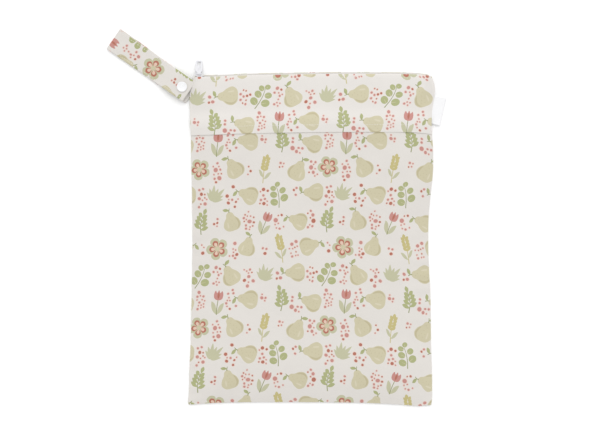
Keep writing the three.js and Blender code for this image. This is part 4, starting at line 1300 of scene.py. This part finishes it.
FOLD_STITCH = 3.4
HEM_STITCH = 8.6
STRAP_STITCH = 2.0
along_bag = np.linspace(4, BAG_WIDTH - 4, 600)
along_strap = np.linspace(STRAP_TUCK + 2, strap_run[-1] - 1.5, 500)
bag_stitches = []
for depth in (UPPER_CUT - FOLD_STITCH, HEM_STITCH):
    bag_stitches += stitch_row(lay(upper_place, along_bag, np.full_like(along_bag, depth)))
seams = gather("bag_stitches", bag_stitches, thread)
stand_for(seams, [], "bag")
strap_stitches = []
for edge in (STRAP_STITCH, STRAP_WIDTH - STRAP_STITCH):
    on_top = np.interp(along_strap, strap_run, strap_rows[:, 2]) > 0.99
    line = lay(strap_place, np.full_like(along_strap, edge), along_strap)[on_top]
    strap_stitches += stitch_row(line)
strap_seams = gather("strap_stitches", strap_stitches, thread)
stand_for(strap_seams, [], "bag")

# Camera straight over the bag, with the photograph's frame at the height of its edges.
PHOTO_WIDTH = 600
BAG_IN_PHOTO = 330
EDGE_HEIGHT = 2.0
FRAME_WIDTH = PHOTO_WIDTH * BAG_HEIGHT / BAG_IN_PHOTO
FRAME_CENTRE = (-12.7, 17.6)
LENS = 100.0
SENSOR = 36.0
camera_data = bpy.data.cameras.new("camera")
camera_data.lens = LENS
camera_data.sensor_width = SENSOR
camera = bpy.data.objects.new("camera", camera_data)
camera_height = FRAME_WIDTH * LENS / SENSOR + EDGE_HEIGHT
camera.location = (FRAME_CENTRE[0] * MM, FRAME_CENTRE[1] * MM, camera_height * MM)
bpy.context.scene.collection.objects.link(camera)
bpy.context.scene.camera = camera

# Floor and studio light.
FLOOR_REACH = 4.0
FLOOR_DROP = 0.0002
FLOOR_WHITE = (0.97, 0.97, 0.97)
SKY_STRENGTH = 0.86
SUN_ROTATION = (-40, 4, 0)
SUN_STRENGTH = 1.2
SUN_SPREAD = 60
floor_corners = [(FLOOR_REACH * x, FLOOR_REACH * y, 0) for x, y in ((-1, -1), (1, -1), (1, 1), (-1, 1))]
floor_mesh = bpy.data.meshes.new("floor")
floor_mesh.from_pydata(floor_corners, [], [(0, 1, 2, 3)])
floor = bpy.data.objects.new("floor", floor_mesh)
floor.location = (0, 0, -FLOOR_DROP)
bpy.context.scene.collection.objects.link(floor)
floor_mesh.materials.append(new_material("floor_paint", FLOOR_WHITE, 0.9)[0])

window = bpy.data.lights.new("window", "SUN")
window.energy = SUN_STRENGTH
window.angle = math.radians(SUN_SPREAD)
lamp = bpy.data.objects.new("window", window)
lamp.location = (0, 0, 3)
lamp.rotation_euler = [math.radians(a) for a in SUN_ROTATION]
bpy.context.scene.collection.objects.link(lamp)

world = bpy.data.worlds.new("studio")
world.use_nodes = True
world.node_tree.nodes["Background"].inputs["Color"].default_value = (1, 1, 1, 1)
world.node_tree.nodes["Background"].inputs["Strength"].default_value = SKY_STRENGTH
bpy.context.scene.world = world
bpy.context.scene.view_settings.view_transform = "Standard"
